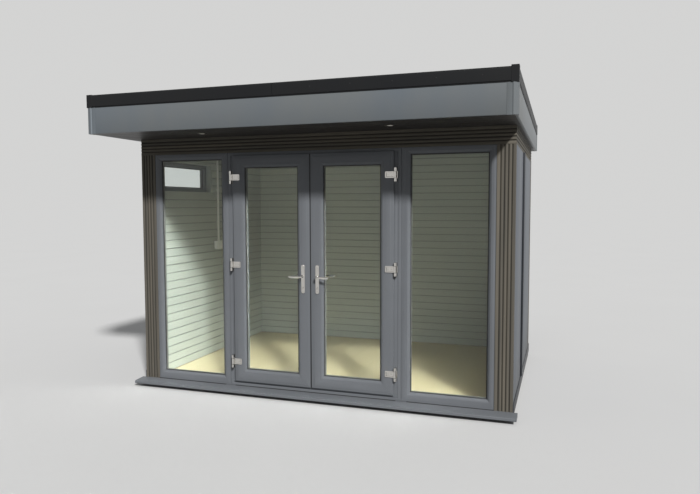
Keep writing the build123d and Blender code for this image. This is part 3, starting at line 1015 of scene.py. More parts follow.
def solids_of(node, axis):
    """The spans, along one axis, of the separate solids of a node, from low to high."""
    spots = sorted({round(vertex.co[axis], 5) for vertex in frame["nodes"][node].data.vertices})
    between_hinges = 0.3
    groups = [[spots[0]]]
    for spot in spots[1:]:
        if spot - groups[-1][-1] > between_hinges:
            groups.append([])
        groups[-1].append(spot)
    return [(group[0], group[-1]) for group in groups]


def finish_pair(right, name, material, node=None, body="{}_door"):
    """Mirrors a fitting of the right leaf for the left one, and finishes both."""
    left = mirrored(right, f"left_{name}")
    for hand, piece in (("left", left), ("right", named(right, f"right_{name}"))):
        nodes = [f"{hand}_{node}"] if node else []
        finish_piece(piece, material, "hardware", *nodes, body=body.format(hand))


def on_both_faces(outer, middle, between=()):
    """Joins a fitting of a leaf's outer face with its mirror image on the inner face."""
    inner = copied(outer, "inner", (1, -1, 1), (0, middle, 0))
    return joined("pair", [inner, *between, outer])


class POD_OT_hinges(bpy.types.Operator):
    """Makes three flag hinges for each leaf"""
    bl_idname = "pod.hinges"
    bl_label = "Hinges"

    def execute(self, context):
        flag_low, flag_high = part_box("right_hinge_flags")
        bracket_low, bracket_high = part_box("right_hinge_brackets")
        leaf_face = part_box("right_leaf_frame")[0].y
        frame_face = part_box("door_jambs")[0].y
        radius = (flag_high.x - bracket_low.x) / 2
        axis = (flag_high.x - radius, bracket_low.y + radius)
        flags, brackets = [], []
        spans = zip(solids_of("right_hinge_flags", UPRIGHT), solids_of("right_hinge_brackets", UPRIGHT))
        for flag_span, span in spans:
            flags += hinge_flag(flag_span, flag_low.x, axis, radius, leaf_face)
            brackets += hinge_bracket(span, flag_span, axis, radius, bracket_high.x, frame_face)
        finish_pair(joined("flags", flags), "hinge_plates", "Chrome", "hinge_flags")
        finish_pair(joined("brackets", brackets), "hinge_barrels", "Chrome", "hinge_brackets", "pod")
        return {"FINISHED"}


def hinge_flag(span, end_x, axis, radius, leaf_face):
    """A plate with a dished middle and two ribs, the barrel that it turns on, and two screws."""
    foot, head = span
    axis_x, axis_y = axis
    thickness, end_round, rib, dish, dish_slope = 0.006, 0.007, 0.009, 0.0028, 0.0015
    plate = begin_block("flag", (end_x, leaf_face - thickness, foot), (axis_x, leaf_face, head))
    edit(plate)
    pick(plate, "EDGE", lambda edge: middle_of(edge).x < end_x + SAME_PLACE
         and length_along(edge, LEVEL_Y) > SAME_PLACE)
    bpy.ops.mesh.bevel(offset=end_round, segments=4, affect="EDGES")
    pick(plate, "FACE", lambda face: face.normal.y < -0.9)
    bpy.ops.mesh.inset(thickness=rib, depth=0)
    bpy.ops.mesh.inset(thickness=dish_slope, depth=-dish)
    ease(close_up(plate), 0.0009)
    web = eased_block(
        "flag", (axis_x - radius * 1.6, axis_y - radius * 0.2, foot + 0.001),
        (axis_x, leaf_face - thickness * 0.3, head - 0.001), 0.0015,
    )
    pieces = [plate, knuckle("flag", axis, span, radius), web]
    for share in (0.3, 0.62):
        centre = (end_x + share * (axis_x - end_x), leaf_face - thickness + dish, (foot + head) / 2)
        pieces.append(fitting_screw("flag", centre))
    return pieces


def hinge_bracket(span, flag_span, axis, radius, end_x, frame_face):
    """The two outer lengths of the barrel, the pin in them, and the leg that is screwed to the frame."""
    foot, head = span
    axis_x, axis_y = axis
    gap, pin_inset, leg, rounding = 0.0015, 0.004, 0.006, 0.0018
    lengths = ((foot, flag_span[0] - gap), (flag_span[1] + gap, head))
    pieces = [knuckle("bracket", axis, length, radius) for length in lengths]
    pieces.append(knuckle("bracket", axis, (foot + pin_inset, head - pin_inset), radius * 0.42))
    blocks = [((axis_x - radius * 0.5, axis_y, low), (end_x, frame_face, high)) for low, high in lengths]
    blocks.append(((axis_x - leg, frame_face - leg, foot), (end_x, frame_face, head)))
    return pieces + [eased_block("bracket", *corners, rounding) for corners in blocks]


def round_ended_plate(name, centre, width, height, thickness):
    """A backplate with round ends and a domed face that looks along -Y."""
    radius = width / 2
    plate = begin_disc(name, centre, FACING_FRONT, radius, 36)
    edit(plate)
    for sign in (1, -1):
        pick(plate, "VERT", lambda vertex: sign * (vertex.co.z - centre[2]) > 0.0005)
        bpy.ops.transform.translate(value=(0, 0, sign * (height / 2 - radius)))
    bpy.ops.mesh.select_all(action="SELECT")
    bpy.ops.mesh.extrude_region_move(TRANSFORM_OT_translate={"value": (0, -thickness * 0.55, 0)})
    for inward, rise in ((0.0010, 0.0014), (0.0022, 0.0012), (0.0040, 0.0008)):
        bpy.ops.mesh.inset(thickness=inward, depth=rise)
    return close_up(plate)


def lever(name, x, plate_face, level, reach, arm, thickness):
    """A lever that comes straight out, turns through a quarter bend and tapers to a round end."""
    radius, bend = 0.0085, 0.016
    stem = begin_disc(name, (x, plate_face, level), FACING_FRONT, radius * 1.28, 28)
    edit(stem, "SELECT")
    place = plate_face
    straight = reach - thickness / 2 - bend
    for share, scale in ((0.28, 1.0), (0.08, 0.78), (0.64, 1.0)):
        place -= straight * share
        bpy.ops.mesh.extrude_region_move(TRANSFORM_OT_translate={"value": (0, -straight * share, 0)})
        bpy.ops.transform.resize(value=(scale,) * 3, center_override=(x, place, level))
    corner = (x + bend, place, level)
    bpy.ops.mesh.spin(steps=8, angle=math.pi / 2, center=corner, axis=(0, 0, -1))
    mesh = bmesh.from_edit_mesh(stem.data)
    end = middle_of([face for face in mesh.faces if face.select][0])
    # Lengths along the arm, drops and growths in thickness and height.
    steps = (
        (0.16, -0.0005, 0.86, 1.12), (0.20, -0.0010, 0.92, 1.06), (0.24, -0.0010, 0.96, 1.00),
        (0.22, 0.0005, 0.96, 0.97), (0.10, 0.0015, 0.92, 0.94), (0.045, 0.0010, 0.80, 0.82),
        (0.025, 0.0004, 0.55, 0.60),
    )
    run = x + arm - end.x
    total = sum(step[0] for step in steps)
    for share, rise, thin, tall in steps:
        move = Vector((run * share / total, 0, rise))
        bpy.ops.mesh.extrude_region_move(TRANSFORM_OT_translate={"value": move})
        end = end + move
        bpy.ops.transform.resize(value=(1, thin, tall), center_override=end)
    return close_up(stem)


class POD_OT_handles(bpy.types.Operator):
    """Makes the backplates, lock cylinders and levers on both faces of each leaf"""
    bl_idname = "pod.handles"
    bl_label = "Handles"

    def execute(self, context):
        plate_low, plate_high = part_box("right_handle_plates")
        lever_low, lever_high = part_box("right_lever")
        leaf_low, leaf_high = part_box("right_leaf_frame")
        x, plate_middle = (plate_low.x + plate_high.x) / 2, (plate_low.z + plate_high.z) / 2
        width, height = plate_high.x - plate_low.x, plate_high.z - plate_low.z
        leaf_middle = (leaf_low.y + leaf_high.y) / 2
        thickness, lock_drop, sunk, arm_thickness = 0.008, 0.073, 0.0008, 0.010
        face = leaf_low.y - thickness
        lock = plate_middle - lock_drop

        parts = [round_ended_plate("plate", (x, leaf_low.y, plate_middle), width, height, thickness)]
        for share in (-0.42, 0.42):
            centre = (x, face + sunk, plate_middle + share * height)
            parts.append(fitting_screw("plate", centre))
        parts.append(turned("plate", "Y", (x, face, lock), [
            (0.0085, 0.004), (0.0085, -0.0032), (0.0078, -0.004), (0.0064, -0.004), (0.0060, -0.0034),
        ]))
        plates = on_both_faces(joined("plate", parts), leaf_middle)

        slot_x, slot_z = 0.0008, 0.0042
        slot = eased_block(
            "slot", (x - slot_x, face - 0.0038, lock - slot_z),
            (x + slot_x, face - 0.0033, lock + slot_z), 0.0001, 1,
        )
        slots = on_both_faces(slot, leaf_middle)

        level = (lever_low.z + lever_high.z) / 2
        reach, arm = face - lever_low.y, lever_high.x - x
        outer = lever("lever", x, face + 0.0002, level, reach, arm, arm_thickness)
        spindle = [(0.005, face), (0.005, 2 * leaf_middle - face)]
        levers = on_both_faces(outer, leaf_middle, [turned("lever", "Y", (x, 0, level), spindle, 20)])

        finish_pair(plates, "handle_backplates", "Chrome", "handle_plates")
        finish_pair(slots, "key_slots", "Gasket")
        finish_pair(levers, "lever_pair", "Chrome", "lever", "{}_lever_handle")
        return {"FINISHED"}


# Boards and panels.
def fluted_outline(width, thickness, sizes):
    """A board with its flutes, from its back corner round to its fluted face at depth 0."""
    count = round(width / sizes.flute_pitch)
    pitch, half_flute, flare, depth = width / count, 0.0055, 0.0025, 0.005
    ease_by = sizes.flute_round
    points = [(0, thickness), (width, thickness), (width, ease_by), (width - ease_by, 0)]
    for index in range(count - 1, 0, -1):
        middle = pitch * index
        points += [
            (middle + half_flute + ease_by, 0), (middle + half_flute - ease_by * 0.4, ease_by * 0.8),
            (middle + half_flute - flare, depth), (middle - half_flute + flare, depth),
            (middle - half_flute + ease_by * 0.4, ease_by * 0.8), (middle - half_flute - ease_by, 0),
        ]
    return points + [(ease_by, 0), (0, ease_by)]


def laid_outline(points, first, second, swap=False):
    """Maps a board's (across, depth) points to places. Each of first and second is (start, sign).
    A swapped outline starts at a side that runs along its first direction, as a moulding needs."""
    placed = [(first[0] + first[1] * a, second[0] + second[1] * b) for a, b in points]
    if not swap:
        return placed
    placed = [(b, a) for a, b in placed]
    for index, here in enumerate(placed):
        there = placed[(index + 1) % len(placed)]
        if abs(here[1] - there[1]) < SAME_PLACE < abs(here[0] - there[0]):
            return placed[index:] + placed[:index]
    raise ValueError("the outline has no side along its first direction")


def finish_flutes(boards, direction, node, *faces):
    """Gives fluted boards their finish, with painted shade in the grooves behind their outer faces: a
    darker finish there.
    """
    finish_piece(boards, f"Fluted board {direction}", "fluted_board", node)
    darken_hollows(boards, f"Fluted groove {direction}", faces)


class POD_OT_fluted_boards(bpy.types.Operator):
    """Makes the fluted boards at the corners and round the head of the walls"""
    bl_idname = "pod.fluted_boards"
    bl_label = "Fluted boards"

    def execute(self, context):
        sizes = context.scene.pod_sizes
        low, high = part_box("front_corner_boards")
        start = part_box("right_window_frame")[1].x
        width, thickness = high.x - start, high.y - low.y
        outline = fluted_outline(width, thickness, sizes)
        placed = laid_outline(outline, (start, 1), (low.y, 1))
        right = moulding("right_front_flutes", "Z", (low.z, high.z), placed)
        boards = joined("front_corner_flutes", [mirrored(right, "left_front_flutes"), right])
        finish_flutes(boards, "upright", "front_corner_boards", (LEVEL_Y, low.y, 1))

        low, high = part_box("rear_corner_boards")
        on_back = laid_outline(outline, (high.x, -1), (high.y, -1))
        back = moulding("right_rear_flutes", "Z", (low.z, high.z), on_back)
        side = fluted_outline(width - thickness, thickness, sizes)
        on_side = laid_outline(side, (high.y - width, 1), (high.x, -1), swap=True)
        flank = moulding("right_flank_flutes", "Z", (low.z, high.z), on_side)
        right = joined("right_rear_flutes", [back, flank])
        boards = joined("rear_corner_flutes", [mirrored(right, "left_rear_flutes"), right])
        faces = (LEVEL_Y, high.y, -1), (LEVEL_X, low.x, 1), (LEVEL_X, high.x, -1)
        finish_flutes(boards, "upright", "rear_corner_boards", *faces)
        self.head_bands(sizes, thickness)
        return {"FINISHED"}

    def head_bands(self, sizes, thickness):
        """The boards under the soffit, whose flutes run level."""
        low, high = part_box("front_head_board")
        outline = fluted_outline(high.z - low.z, thickness, sizes)
        for side, inward in (("front", 1), ("rear", -1)):
            low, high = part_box(f"{side}_head_board")
            face = low.y if side == "front" else high.y
            placed = laid_outline(outline, (low.z, 1), (face, inward), swap=True)
            band = moulding(f"{side}_head_flutes", "X", (low.x, high.x), placed)
            finish_flutes(band, "level", f"{side}_head_board", (LEVEL_Y, face, inward))
        low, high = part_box("side_head_boards")
        placed = laid_outline(outline, (low.z, 1), (high.x, -1), swap=True)
        right = moulding("right_head_flutes", "Y", (low.y, high.y), placed)
        bands = joined("side_head_flutes", [mirrored(right, "left_head_flutes"), right])
        finish_flutes(bands, "side", "side_head_boards", (LEVEL_X, low.x, 1), (LEVEL_X, high.x, -1))


class POD_OT_cladding(bpy.types.Operator):
    """Eases the edges of the flat panels, their joint strips and the foot flashing"""
    bl_idname = "pod.cladding"
    bl_label = "Cladding"

    def execute(self, context):
        rounding = context.scene.pod_sizes.edge_round
        for side in ("left", "right", "back"):
            panels = f"{side}_panels"
            eased_solid(f"{side}_cladding", panels, rounding, "Cladding panel", "cladding_panel")
        eased_solid("cladding_joint_strips", "joint_strips", rounding * 1.5, "Dark trim", "dark_trim")
        eased_solid("foot_flashing", "wall_foot_flashing", rounding, "Dark trim", "dark_trim")
        return {"FINISHED"}


def wall_board(back, face, foot, head, chamfer):
    """One level board of a lining, in (depth, height), with a chamfer and a narrow slot at each joint."""
    slot = 0.0015
    inward = chamfer if face < back else -chamfer
    edge, bottom = face + inward, face + inward * 1.9
    return [
        (back, foot), (bottom, foot), (bottom, foot + slot), (edge, foot + slot),
        (face, foot + chamfer + slot), (face, head - chamfer - slot),
        (edge, head - slot), (bottom, head - slot), (bottom, head), (back, head),
    ]


def flat_board(start, end, back, face, chamfer):
    """One board that lies flat, in (across, height), with a chamfer at each joint."""
    inward = chamfer if face < back else -chamfer
    return [
        (start, back), (end, back), (end, face + inward), (end - chamfer, face),
        (start + chamfer, face), (start, face + inward),
    ]


def row_of(board, count, step):
    """Repeats a board, each copy moved on by one step."""
    return modify(
        board, "ARRAY", count=count, use_relative_offset=False, use_constant_offset=True,
        constant_offset_displace=step,
    )


def flat_boards(name, axis, span, across, levels, board, chamfer):
    """A row of boards that lie flat along an axis. The row fills the span across them, levels are
    those of a board's back and face, and board is about the width of one."""
    start, end = across
    count = max(1, round((end - start) / board))
    width = (end - start) / count
    first = moulding(name, axis, span, flat_board(start, start + width, *levels, chamfer))
    return row_of(first, count, (width, 0, 0) if axis == "Y" else (0, width, 0))


def darken_hollows(piece, material, faces, depth=0.0008):
    """Paints shade into what lies deeper than the outer faces of the boards, by giving it a darker
    finish. An outer face is its axis, its place, and the direction that leads into the boards."""
    back = 0.0075
    piece.data.materials.append(bpy.data.materials[material])
    for polygon in piece.data.polygons:
        if any(depth < (polygon.center[axis] - face) * inward < back for axis, face, inward in faces):
            polygon.material_index = 1


class POD_OT_linings(bpy.types.Operator):
    """Makes the boarded linings of the walls and the ceiling"""
    bl_idname = "pod.linings"
    bl_label = "Linings"

    def execute(self, context):
        sizes = context.scene.pod_sizes
        for side in ("left", "right", "back"):
            low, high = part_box(f"{side}_lining")
            count = round((high.z - low.z) / sizes.matchboard)
            height = (high.z - low.z) / count
            if side == "back":
                axis, across, direction, span = "X", LEVEL_Y, "level", (low.x, high.x)
            else:
                axis, across, direction, span = "Y", LEVEL_X, "side", (low.y, high.y)
            back, face = (low.x, high.x) if side == "left" else (high[across], low[across])
            outline = wall_board(back, face, low.z, low.z + height, sizes.joint_chamfer)
            boards = row_of(moulding(f"{side}_boarding", axis, span, outline), count, (0, 0, height))
            if side == "left":
                cut_high_window(boards, low.x, high.x)
            finish_piece(boards, f"Lining {direction}", "wall_lining", f"{side}_lining")
            # Painted shade in the chamfers and slots of the board joints.
            darken_hollows(boards, "Lining joint", [(across, face, 1 if back > face else -1)], 0.0002)
        low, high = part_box("ceiling_lining")
        boards = flat_boards(
            "ceiling_boarding", "X", (low.x, high.x), (low.y, high.y), (high.z, low.z),
            2 * sizes.matchboard, sizes.joint_chamfer,
        )
        finish_piece(boards, "Lining level", "wall_lining", "ceiling_lining")
        return {"FINISHED"}


def cut_high_window(boards, near, far):
    """Cuts the hole of the high window out of the boards."""
    low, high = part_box("high_window_frame")
    reach, rounding = 0.01, 0.0001
    cutter = eased_block(
        "cutter", (near - reach, low.y, low.z), (far + reach, high.y, high.z), rounding, 1
    )
    modify(boards, "BOOLEAN", operation="DIFFERENCE", solver="EXACT", object=cutter)
    bpy.data.objects.remove(cutter)


class POD_OT_floor(bpy.types.Operator):
    """Makes the floor boards inside"""
    bl_idname = "pod.floor"
    bl_label = "Floor"

    def execute(self, context):
        low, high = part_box("floor_boards")
        levels, chamfer = (low.z, high.z), 0.0008
        post_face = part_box("front_corner_posts")[1].y
        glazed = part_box("right_window_frame")[1].x
        boards = flat_boards(
            "floor_boarding", "Y", (post_face, high.y), (low.x, high.x), levels,
            context.scene.pod_sizes.floor_board, chamfer,
        )
        outline = flat_board(low.y, post_face, *levels, chamfer)
        edge = moulding("floor_edge", "X", (-glazed, glazed), outline)
        finish_piece(joined("floor_boarding", [edge, boards]), "Floor boards", "floor", "floor_boards")
        return {"FINISHED"}


class POD_OT_base(bpy.types.Operator):
    """Eases the base frame, and makes the cill with its sloped top, nose, drip and end caps"""
    bl_idname = "pod.base"
    bl_label = "Base and cill"

    def execute(self, context):
        timber_round, setback, chamfer = 0.003, 0.002, 0.003
        eased_solid("base_frame", "base_timbers", timber_round, "Base timber", "treated_timber")
        low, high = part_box("front_cill")
        wall_face, wall_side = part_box("front_corner_boards")[0].y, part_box("front_corner_boards")[1].x
        nose, fall, rounding = low.y, 0.006, 0.006
        drip_front, drip_back, drip_top = nose + 0.014, nose + 0.021, low.z + 0.003
        outline = [(drip_back, low.z), (wall_face, low.z), (wall_face, high.z)]
        for angle in (0, math.pi / 6, math.pi / 3, math.pi / 2):
            back, down = rounding * (1 - math.sin(angle)), rounding * (1 - math.cos(angle))
            outline.append((nose + back, high.z - fall - down))
        outline += [
            (nose, low.z + chamfer), (nose + chamfer, low.z),
            (drip_front, low.z), (drip_front, drip_top), (drip_back, drip_top),
        ]
        board = moulding("cill_nose", "X", (low.x + setback, high.x - setback), outline)
        bed = eased_block(
            "cill_bed", (-wall_side, wall_face, low.z), (wall_side, high.y, high.z), 0.0005, 1
        )
        finish_piece(joined("cill_board", [bed, board]), "Frame foil level", "frame_foil", "front_cill")
        proud, grip = 0.001, 0.003
        outline = [
            (nose + 0.001, low.z - proud), (wall_face, low.z - proud), (wall_face, high.z + proud),
            (nose + 0.006, high.z - fall + proud), (nose - proud, high.z - fall - 0.005),
            (nose - proud, low.z + 0.001),
        ]
        caps = [
            moulding("cill_cap", "X", span, outline)
            for span in ((low.x - proud, low.x + grip), (high.x - grip, high.x + proud))
        ]
        finish_piece(ease(joined("cill_end_caps", caps), 0.0008), "Frame foil side", "frame_foil")
        # Painted shade: dark beads where the shadow line under the frames falls.
        self.foot_beads(wall_face, high.z)
        return {"FINISHED"}

    def foot_beads(self, cill_back, level):
        """A dark bead under each frame, which stops short of the couplings between them. It is painted
        shade: a black strip put where the shadow line at the frames' foot falls.
        """
        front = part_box("door_jambs")[0].y
        window_low, window_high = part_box("right_window_frame")
        margin, height = 0.045, 0.0045
        inner, outer, edge = window_low.x - margin, window_low.x + margin, window_high.x
        outline = [
            (cill_back, level), (front + 0.002, level), (front + 0.002, level + height),
            (front - 0.0012, level + height), (front - 0.0028, level + 0.002),
        ]
        spans = ((-edge, -outer), (-inner, inner), (outer, edge))
        beads = [moulding("foot_bead", "X", span, outline) for span in spans]
        finish_piece(joined("frame_foot_beads", beads), "Gasket", "frame_foil")


# Roof.
def roof_fall_at(y):
    """How far the side trims have fallen at a depth, on their way to the rear."""
    low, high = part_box("side_edge_trims")
    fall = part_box("front_edge_trim")[0].z - low.z
    return fall * (y - low.y) / (high.y - low.y)


def follow_roof(piece, above):
    """Lets a straight level length fall with the roof, or the part of it above a level."""
    depths = [vertex.co.y for vertex in piece.data.vertices]
    for end in (min(depths), max(depths)):
        edit(piece)
        pick(piece, "VERT", lambda vertex: abs(vertex.co.y - end) < SAME_PLACE and vertex.co.z > above)
        bpy.ops.transform.translate(value=(0, 0, -roof_fall_at(end)))
        bpy.ops.object.mode_set(mode="OBJECT")
    return piece


def fascia_outline(face, back, foot, head, rounding):
    """A board on edge, in (depth, height), with rounded outer edges."""
    inward = rounding if back > face else -rounding
    return [
        (back, foot), (face + inward, foot), (face + inward * 0.3, foot + rounding * 0.3),
        (face, foot + rounding), (face, head - rounding), (face + inward * 0.3, head - rounding * 0.3),
        (face + inward, head), (back, head),
    ]


class POD_OT_fascias(bpy.types.Operator):
    """Makes the wide boards round the roof and the strips on their corners"""
    bl_idname = "pod.fascias"
    bl_label = "Fascias"

    def execute(self, context):
        sizes = context.scene.pod_sizes
        rounding = sizes.edge_round * 1.5
        low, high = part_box("front_fascia")
        rear_low, rear_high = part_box("rear_fascia")
        side_low, side_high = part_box("side_fascias")
        for name, face, back, head in (
            ("front", low.y, high.y, high.z), ("rear", rear_high.y, rear_low.y, rear_high.z),
        ):
            outline = fascia_outline(face, back, low.z, head, rounding)
            board = moulding(f"{name}_fascia_board", "X", (low.x, high.x), outline)
            finish_piece(board, "Fascia", "fascia_board", f"{name}_fascia")
        thickness = high.y - low.y
        pair = []
        for face, back in ((side_low.x, side_low.x + thickness), (side_high.x, side_high.x - thickness)):
            outline = fascia_outline(face, back, low.z, high.z, rounding)
            board = moulding("side_fascia", "Y", (side_low.y, side_high.y), outline)
            pair.append(follow_roof(board, (low.z + high.z) / 2))
        finish_piece(joined("side_fascia_boards", pair), "Fascia", "fascia_board", "side_fascias")
        strips = []
        for x, inward_x in ((low.x, 1), (high.x, -1)):
            for y, inward_y, head in ((low.y, 1, high.z), (rear_high.y, -1, rear_high.z)):
                section = self.corner_strip(sizes.corner_strip)
                outline = [(x + inward_x * a, y + inward_y * b) for a, b in section]
                strips.append(moulding("corner_strip", "Z", (low.z - 0.001, head), outline))
        corners = joined("fascia_corner_strips", strips)
        finish_piece(corners, "Fascia", "fascia_board")
        self.lighten_edges(corners)
        return {"FINISHED"}

    def lighten_edges(self, piece):
        """Gives the slopes of the strips that look away from their corner a lighter finish, a painted
        highlight.
        """
        piece.data.materials.append(bpy.data.materials["Fascia edge"])
        low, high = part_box("roof_deck")
        middle = (low + high) / 2
        gentlest, steepest = 0.45, 0.95
        for polygon in piece.data.polygons:
            across = polygon.normal.x if middle.x > polygon.center.x else -polygon.normal.x
            along = polygon.normal.y if middle.y > polygon.center.y else -polygon.normal.y
            if gentlest < max(across, along) < steepest:
                polygon.material_index = 1

    def corner_strip(self, width):
        """An angle over a corner that rises to a crest near each edge, with a thin flange past it."""
        crest, edge, flange, thin = 0.0075, 0.002, 0.034, 0.0012
        leg = [
            (width + flange, thin), (width + flange - 0.002, thin + 0.0008), (width, thin),
            (width - 0.007, crest - 0.0006), (width - 0.0085, crest), (width - 0.011, crest - 0.0007),
            (0.004, edge), (0.0, edge - 0.0012),
        ]
        legs = [(width + flange, 0), (0, 0), (0, width + flange)]
        legs += [(-out, along) for along, out in leg]
        return legs + [(along, -out) for along, out in reversed(leg)]


HEM_CLEARANCE = 0.0008


def trim_outline(face, inner, foot, head, lip, hem):
    """The edge trim in (depth, height): a set-back hem, a flat face, a rounded top and a sloped back."""
    inward = 1 if inner > face else -1
    hem_face = lip - HEM_CLEARANCE
    corners = [
        (hem_face, 0), (hem_face, hem), (0.0035, hem + 0.0004), (0.0008, hem + 0.0008), (0, hem + 0.0016),
    ]
    top = [(0, 0.016), (0.0005, 0.012), (0.0015, 0.006), (0.005, 0.0015), (0.010, 0)]
    return [
        (inner, foot),
        *[(face + inward * a, foot + b) for a, b in corners],
        *[(face + inward * a, head - b) for a, b in top],
        (inner - inward * 0.024, head - 0.001), (inner - inward * 0.016, head - 0.008),
        (inner, head - 0.034),
    ]


class POD_OT_edge_trims(bpy.types.Operator):
    """Makes the black trims over the fascia, with their joint, corner caps and screws"""
    bl_idname = "pod.edge_trims"
    bl_label = "Edge trims"

    def execute(self, context):
        sizes = context.scene.pod_sizes
        low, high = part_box("front_edge_trim")
        side_low, side_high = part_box("side_edge_trims")
        rear_low, rear_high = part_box("rear_edge_trim")
        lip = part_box("front_fascia")[0].y - low.y
        joint, half_gap, lap = sizes.trim_joint, 0.0009, 0.0008
        left = trim_outline(low.y - lap, high.y, low.z, high.z, lip + lap, sizes.trim_hem - lap)
        right = trim_outline(low.y, high.y, low.z, high.z, lip, sizes.trim_hem)
        front = joined("front_roof_trim", [
            moulding("trim_length", "X", (low.x, joint - half_gap), left),
            moulding("trim_length", "X", (joint + half_gap, high.x), right),
        ])
        finish_piece(front, "Edge trim", "edge_trim", "front_edge_trim")
        pair = []
        for face, inner in ((side_low.x, rear_low.x), (side_high.x, rear_high.x)):
            outline = trim_outline(face, inner, low.z, high.z, lip, sizes.trim_hem)
            pair.append(follow_roof(moulding("side_trim", "Y", (side_low.y, side_high.y), outline), 0))
        finish_piece(joined("side_roof_trims", pair), "Edge trim", "edge_trim", "side_edge_trims")
        self.rear_trim(rear_low, rear_high, lip - HEM_CLEARANCE, sizes.trim_hem)
        self.caps(sizes, low, high, side_high.y)
        self.screws(sizes.screw_pitch, low, high, side_low, side_high)
        return {"FINISHED"}

    def rear_trim(self, low, high, hem_face, hem):
        """The plain lower trim along the rear."""
        hem_top, rounding, soft = low.z + hem, 0.006, 0.002
        rear = moulding("rear_roof_trim", "X", (low.x, high.x), [
            (high.y - hem_face, low.z), (low.y, low.z), (low.y, high.z - soft),
            (low.y + 2 * soft, high.z), (high.y - rounding, high.z),
            (high.y - soft, high.z - soft), (high.y, high.z - rounding),
            (high.y, hem_top + 0.001), (high.y - 0.001, hem_top), (high.y - hem_face, hem_top),
        ])
        finish_piece(rear, "Edge trim", "edge_trim", "rear_edge_trim")

    def caps(self, sizes, low, high, rear_end):
        """A cap over each corner. The one at the right front stands highest."""
        width, proud, foot_gap = sizes.cap_width, 0.0015, 0.0004
        dome = ((0.004, 0.0014), (0.006, 0.0006))
        dome_rise = sum(step_up for _, step_up in dome)
        caps = []
        for x, inward in ((low.x, 1), (high.x, -1)):
            for y, depthward in ((low.y, 1), (rear_end, -1)):
                rise = sizes.cap_rise if (x, y) == (high.x, low.y) else sizes.cap_rise / 4
                near_x, far_x = sorted((x - inward * proud, x + inward * width))
                near_y, far_y = sorted((y - depthward * proud, y + depthward * width))
                fall = 0 if y == low.y else roof_fall_at(rear_end)
                foot, head = low.z - foot_gap - fall, high.z + rise - dome_rise - fall
                cap = begin_block("cap", (near_x, near_y, foot), (far_x, far_y, head))
                edit(cap)
                pick(cap, "FACE", lambda face: face.normal.z > 0.9)
                for step_in, step_up in dome:
                    bpy.ops.mesh.inset(thickness=step_in, depth=step_up)
                caps.append(ease(close_up(cap), 0.003, 3))
        finish_piece(joined("trim_corner_caps", caps), "Edge trim", "edge_trim")

    def screws(self, pitch, low, high, side_low, side_high):
        """A row of screws in the front trim, and one in each side trim."""
        level = low.z + (high.z - low.z) * 0.56
        radius, proud, sunk = 0.005, 0.0022, 0.0015
        heads = []
        for index in range(int((high.x - low.x) / pitch)):
            x = low.x + pitch * (index + 0.4)
            heads.append(screw_head("screw", "Y", (x, low.y + sunk, level), radius, -proud))
        for index in range(int((side_high.y - side_low.y) / pitch)):
            y = side_low.y + pitch * (index + 0.5)
            z = level - roof_fall_at(y)
            heads.append(screw_head("screw", "X", (side_low.x + sunk, y, z), radius, -proud))
            heads.append(screw_head("screw", "X", (side_high.x - sunk, y, z), radius, proud))
        finish_piece(joined("trim_screws", heads), "Dark metal", "edge_trim")


class POD_OT_soffit(bpy.types.Operator):
    """Makes the boards under the overhang and the two downlights in them"""
    bl_idname = "pod.soffit"
    bl_label = "Soffit and downlights"

    def execute(self, context):
        sizes = context.scene.pod_sizes
        low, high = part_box("soffit")
        wall_low, wall_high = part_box("back_wall")
        wall_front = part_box("front_head_beam")[0].y
        levels, chamfer = (high.z, low.z), sizes.joint_chamfer
        pieces = []
        for across in ((low.y, wall_front), (wall_high.y, high.y)):
            pieces.append(flat_boards(
                "soffit_row", "X", (low.x, high.x), across, levels, sizes.soffit_board, chamfer
            ))
        for start, end in ((low.x, wall_low.x), (wall_high.x, high.x)):
            outline = flat_board(start, end, *levels, chamfer)
            pieces.append(moulding("soffit_side", "Y", (wall_front, wall_high.y), outline))
        finish_piece(joined("soffit_boards", pieces), "Soffit board", "dark_trim", "soffit")
        self.downlights()
        return {"FINISHED"}

    def downlights(self):
        """Two rings with a domed lens in each."""
        low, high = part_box("downlights")
        radius = (high.y - low.y) / 2
        lens = radius * 0.52
        y = (low.y + high.y) / 2
        rings, lenses = [], []
        for x in (low.x + radius, high.x - radius):
            rings.append(turned("lamp", "Z", (x, y, high.z), [
                (radius, 0), (radius, -0.0015), (radius - 0.002, -0.0035), (radius - 0.006, -0.004),
                (radius * 0.76, -0.0035), (lens, -0.001), (lens, 0), (radius, 0),
            ], 48))
            lenses.append(turned("lens", "Z", (x, y, high.z), [
                (lens, -0.0002), (lens, -0.0012), (lens * 0.7, -0.0022), (lens * 0.35, -0.0028),
            ], 48))
        finish_piece(joined("downlight_rings", rings), "Satin metal", "lamp_ring", "downlights")
        finish_piece(joined("downlight_lenses", lenses), "Lamp lens", "white_plastic")


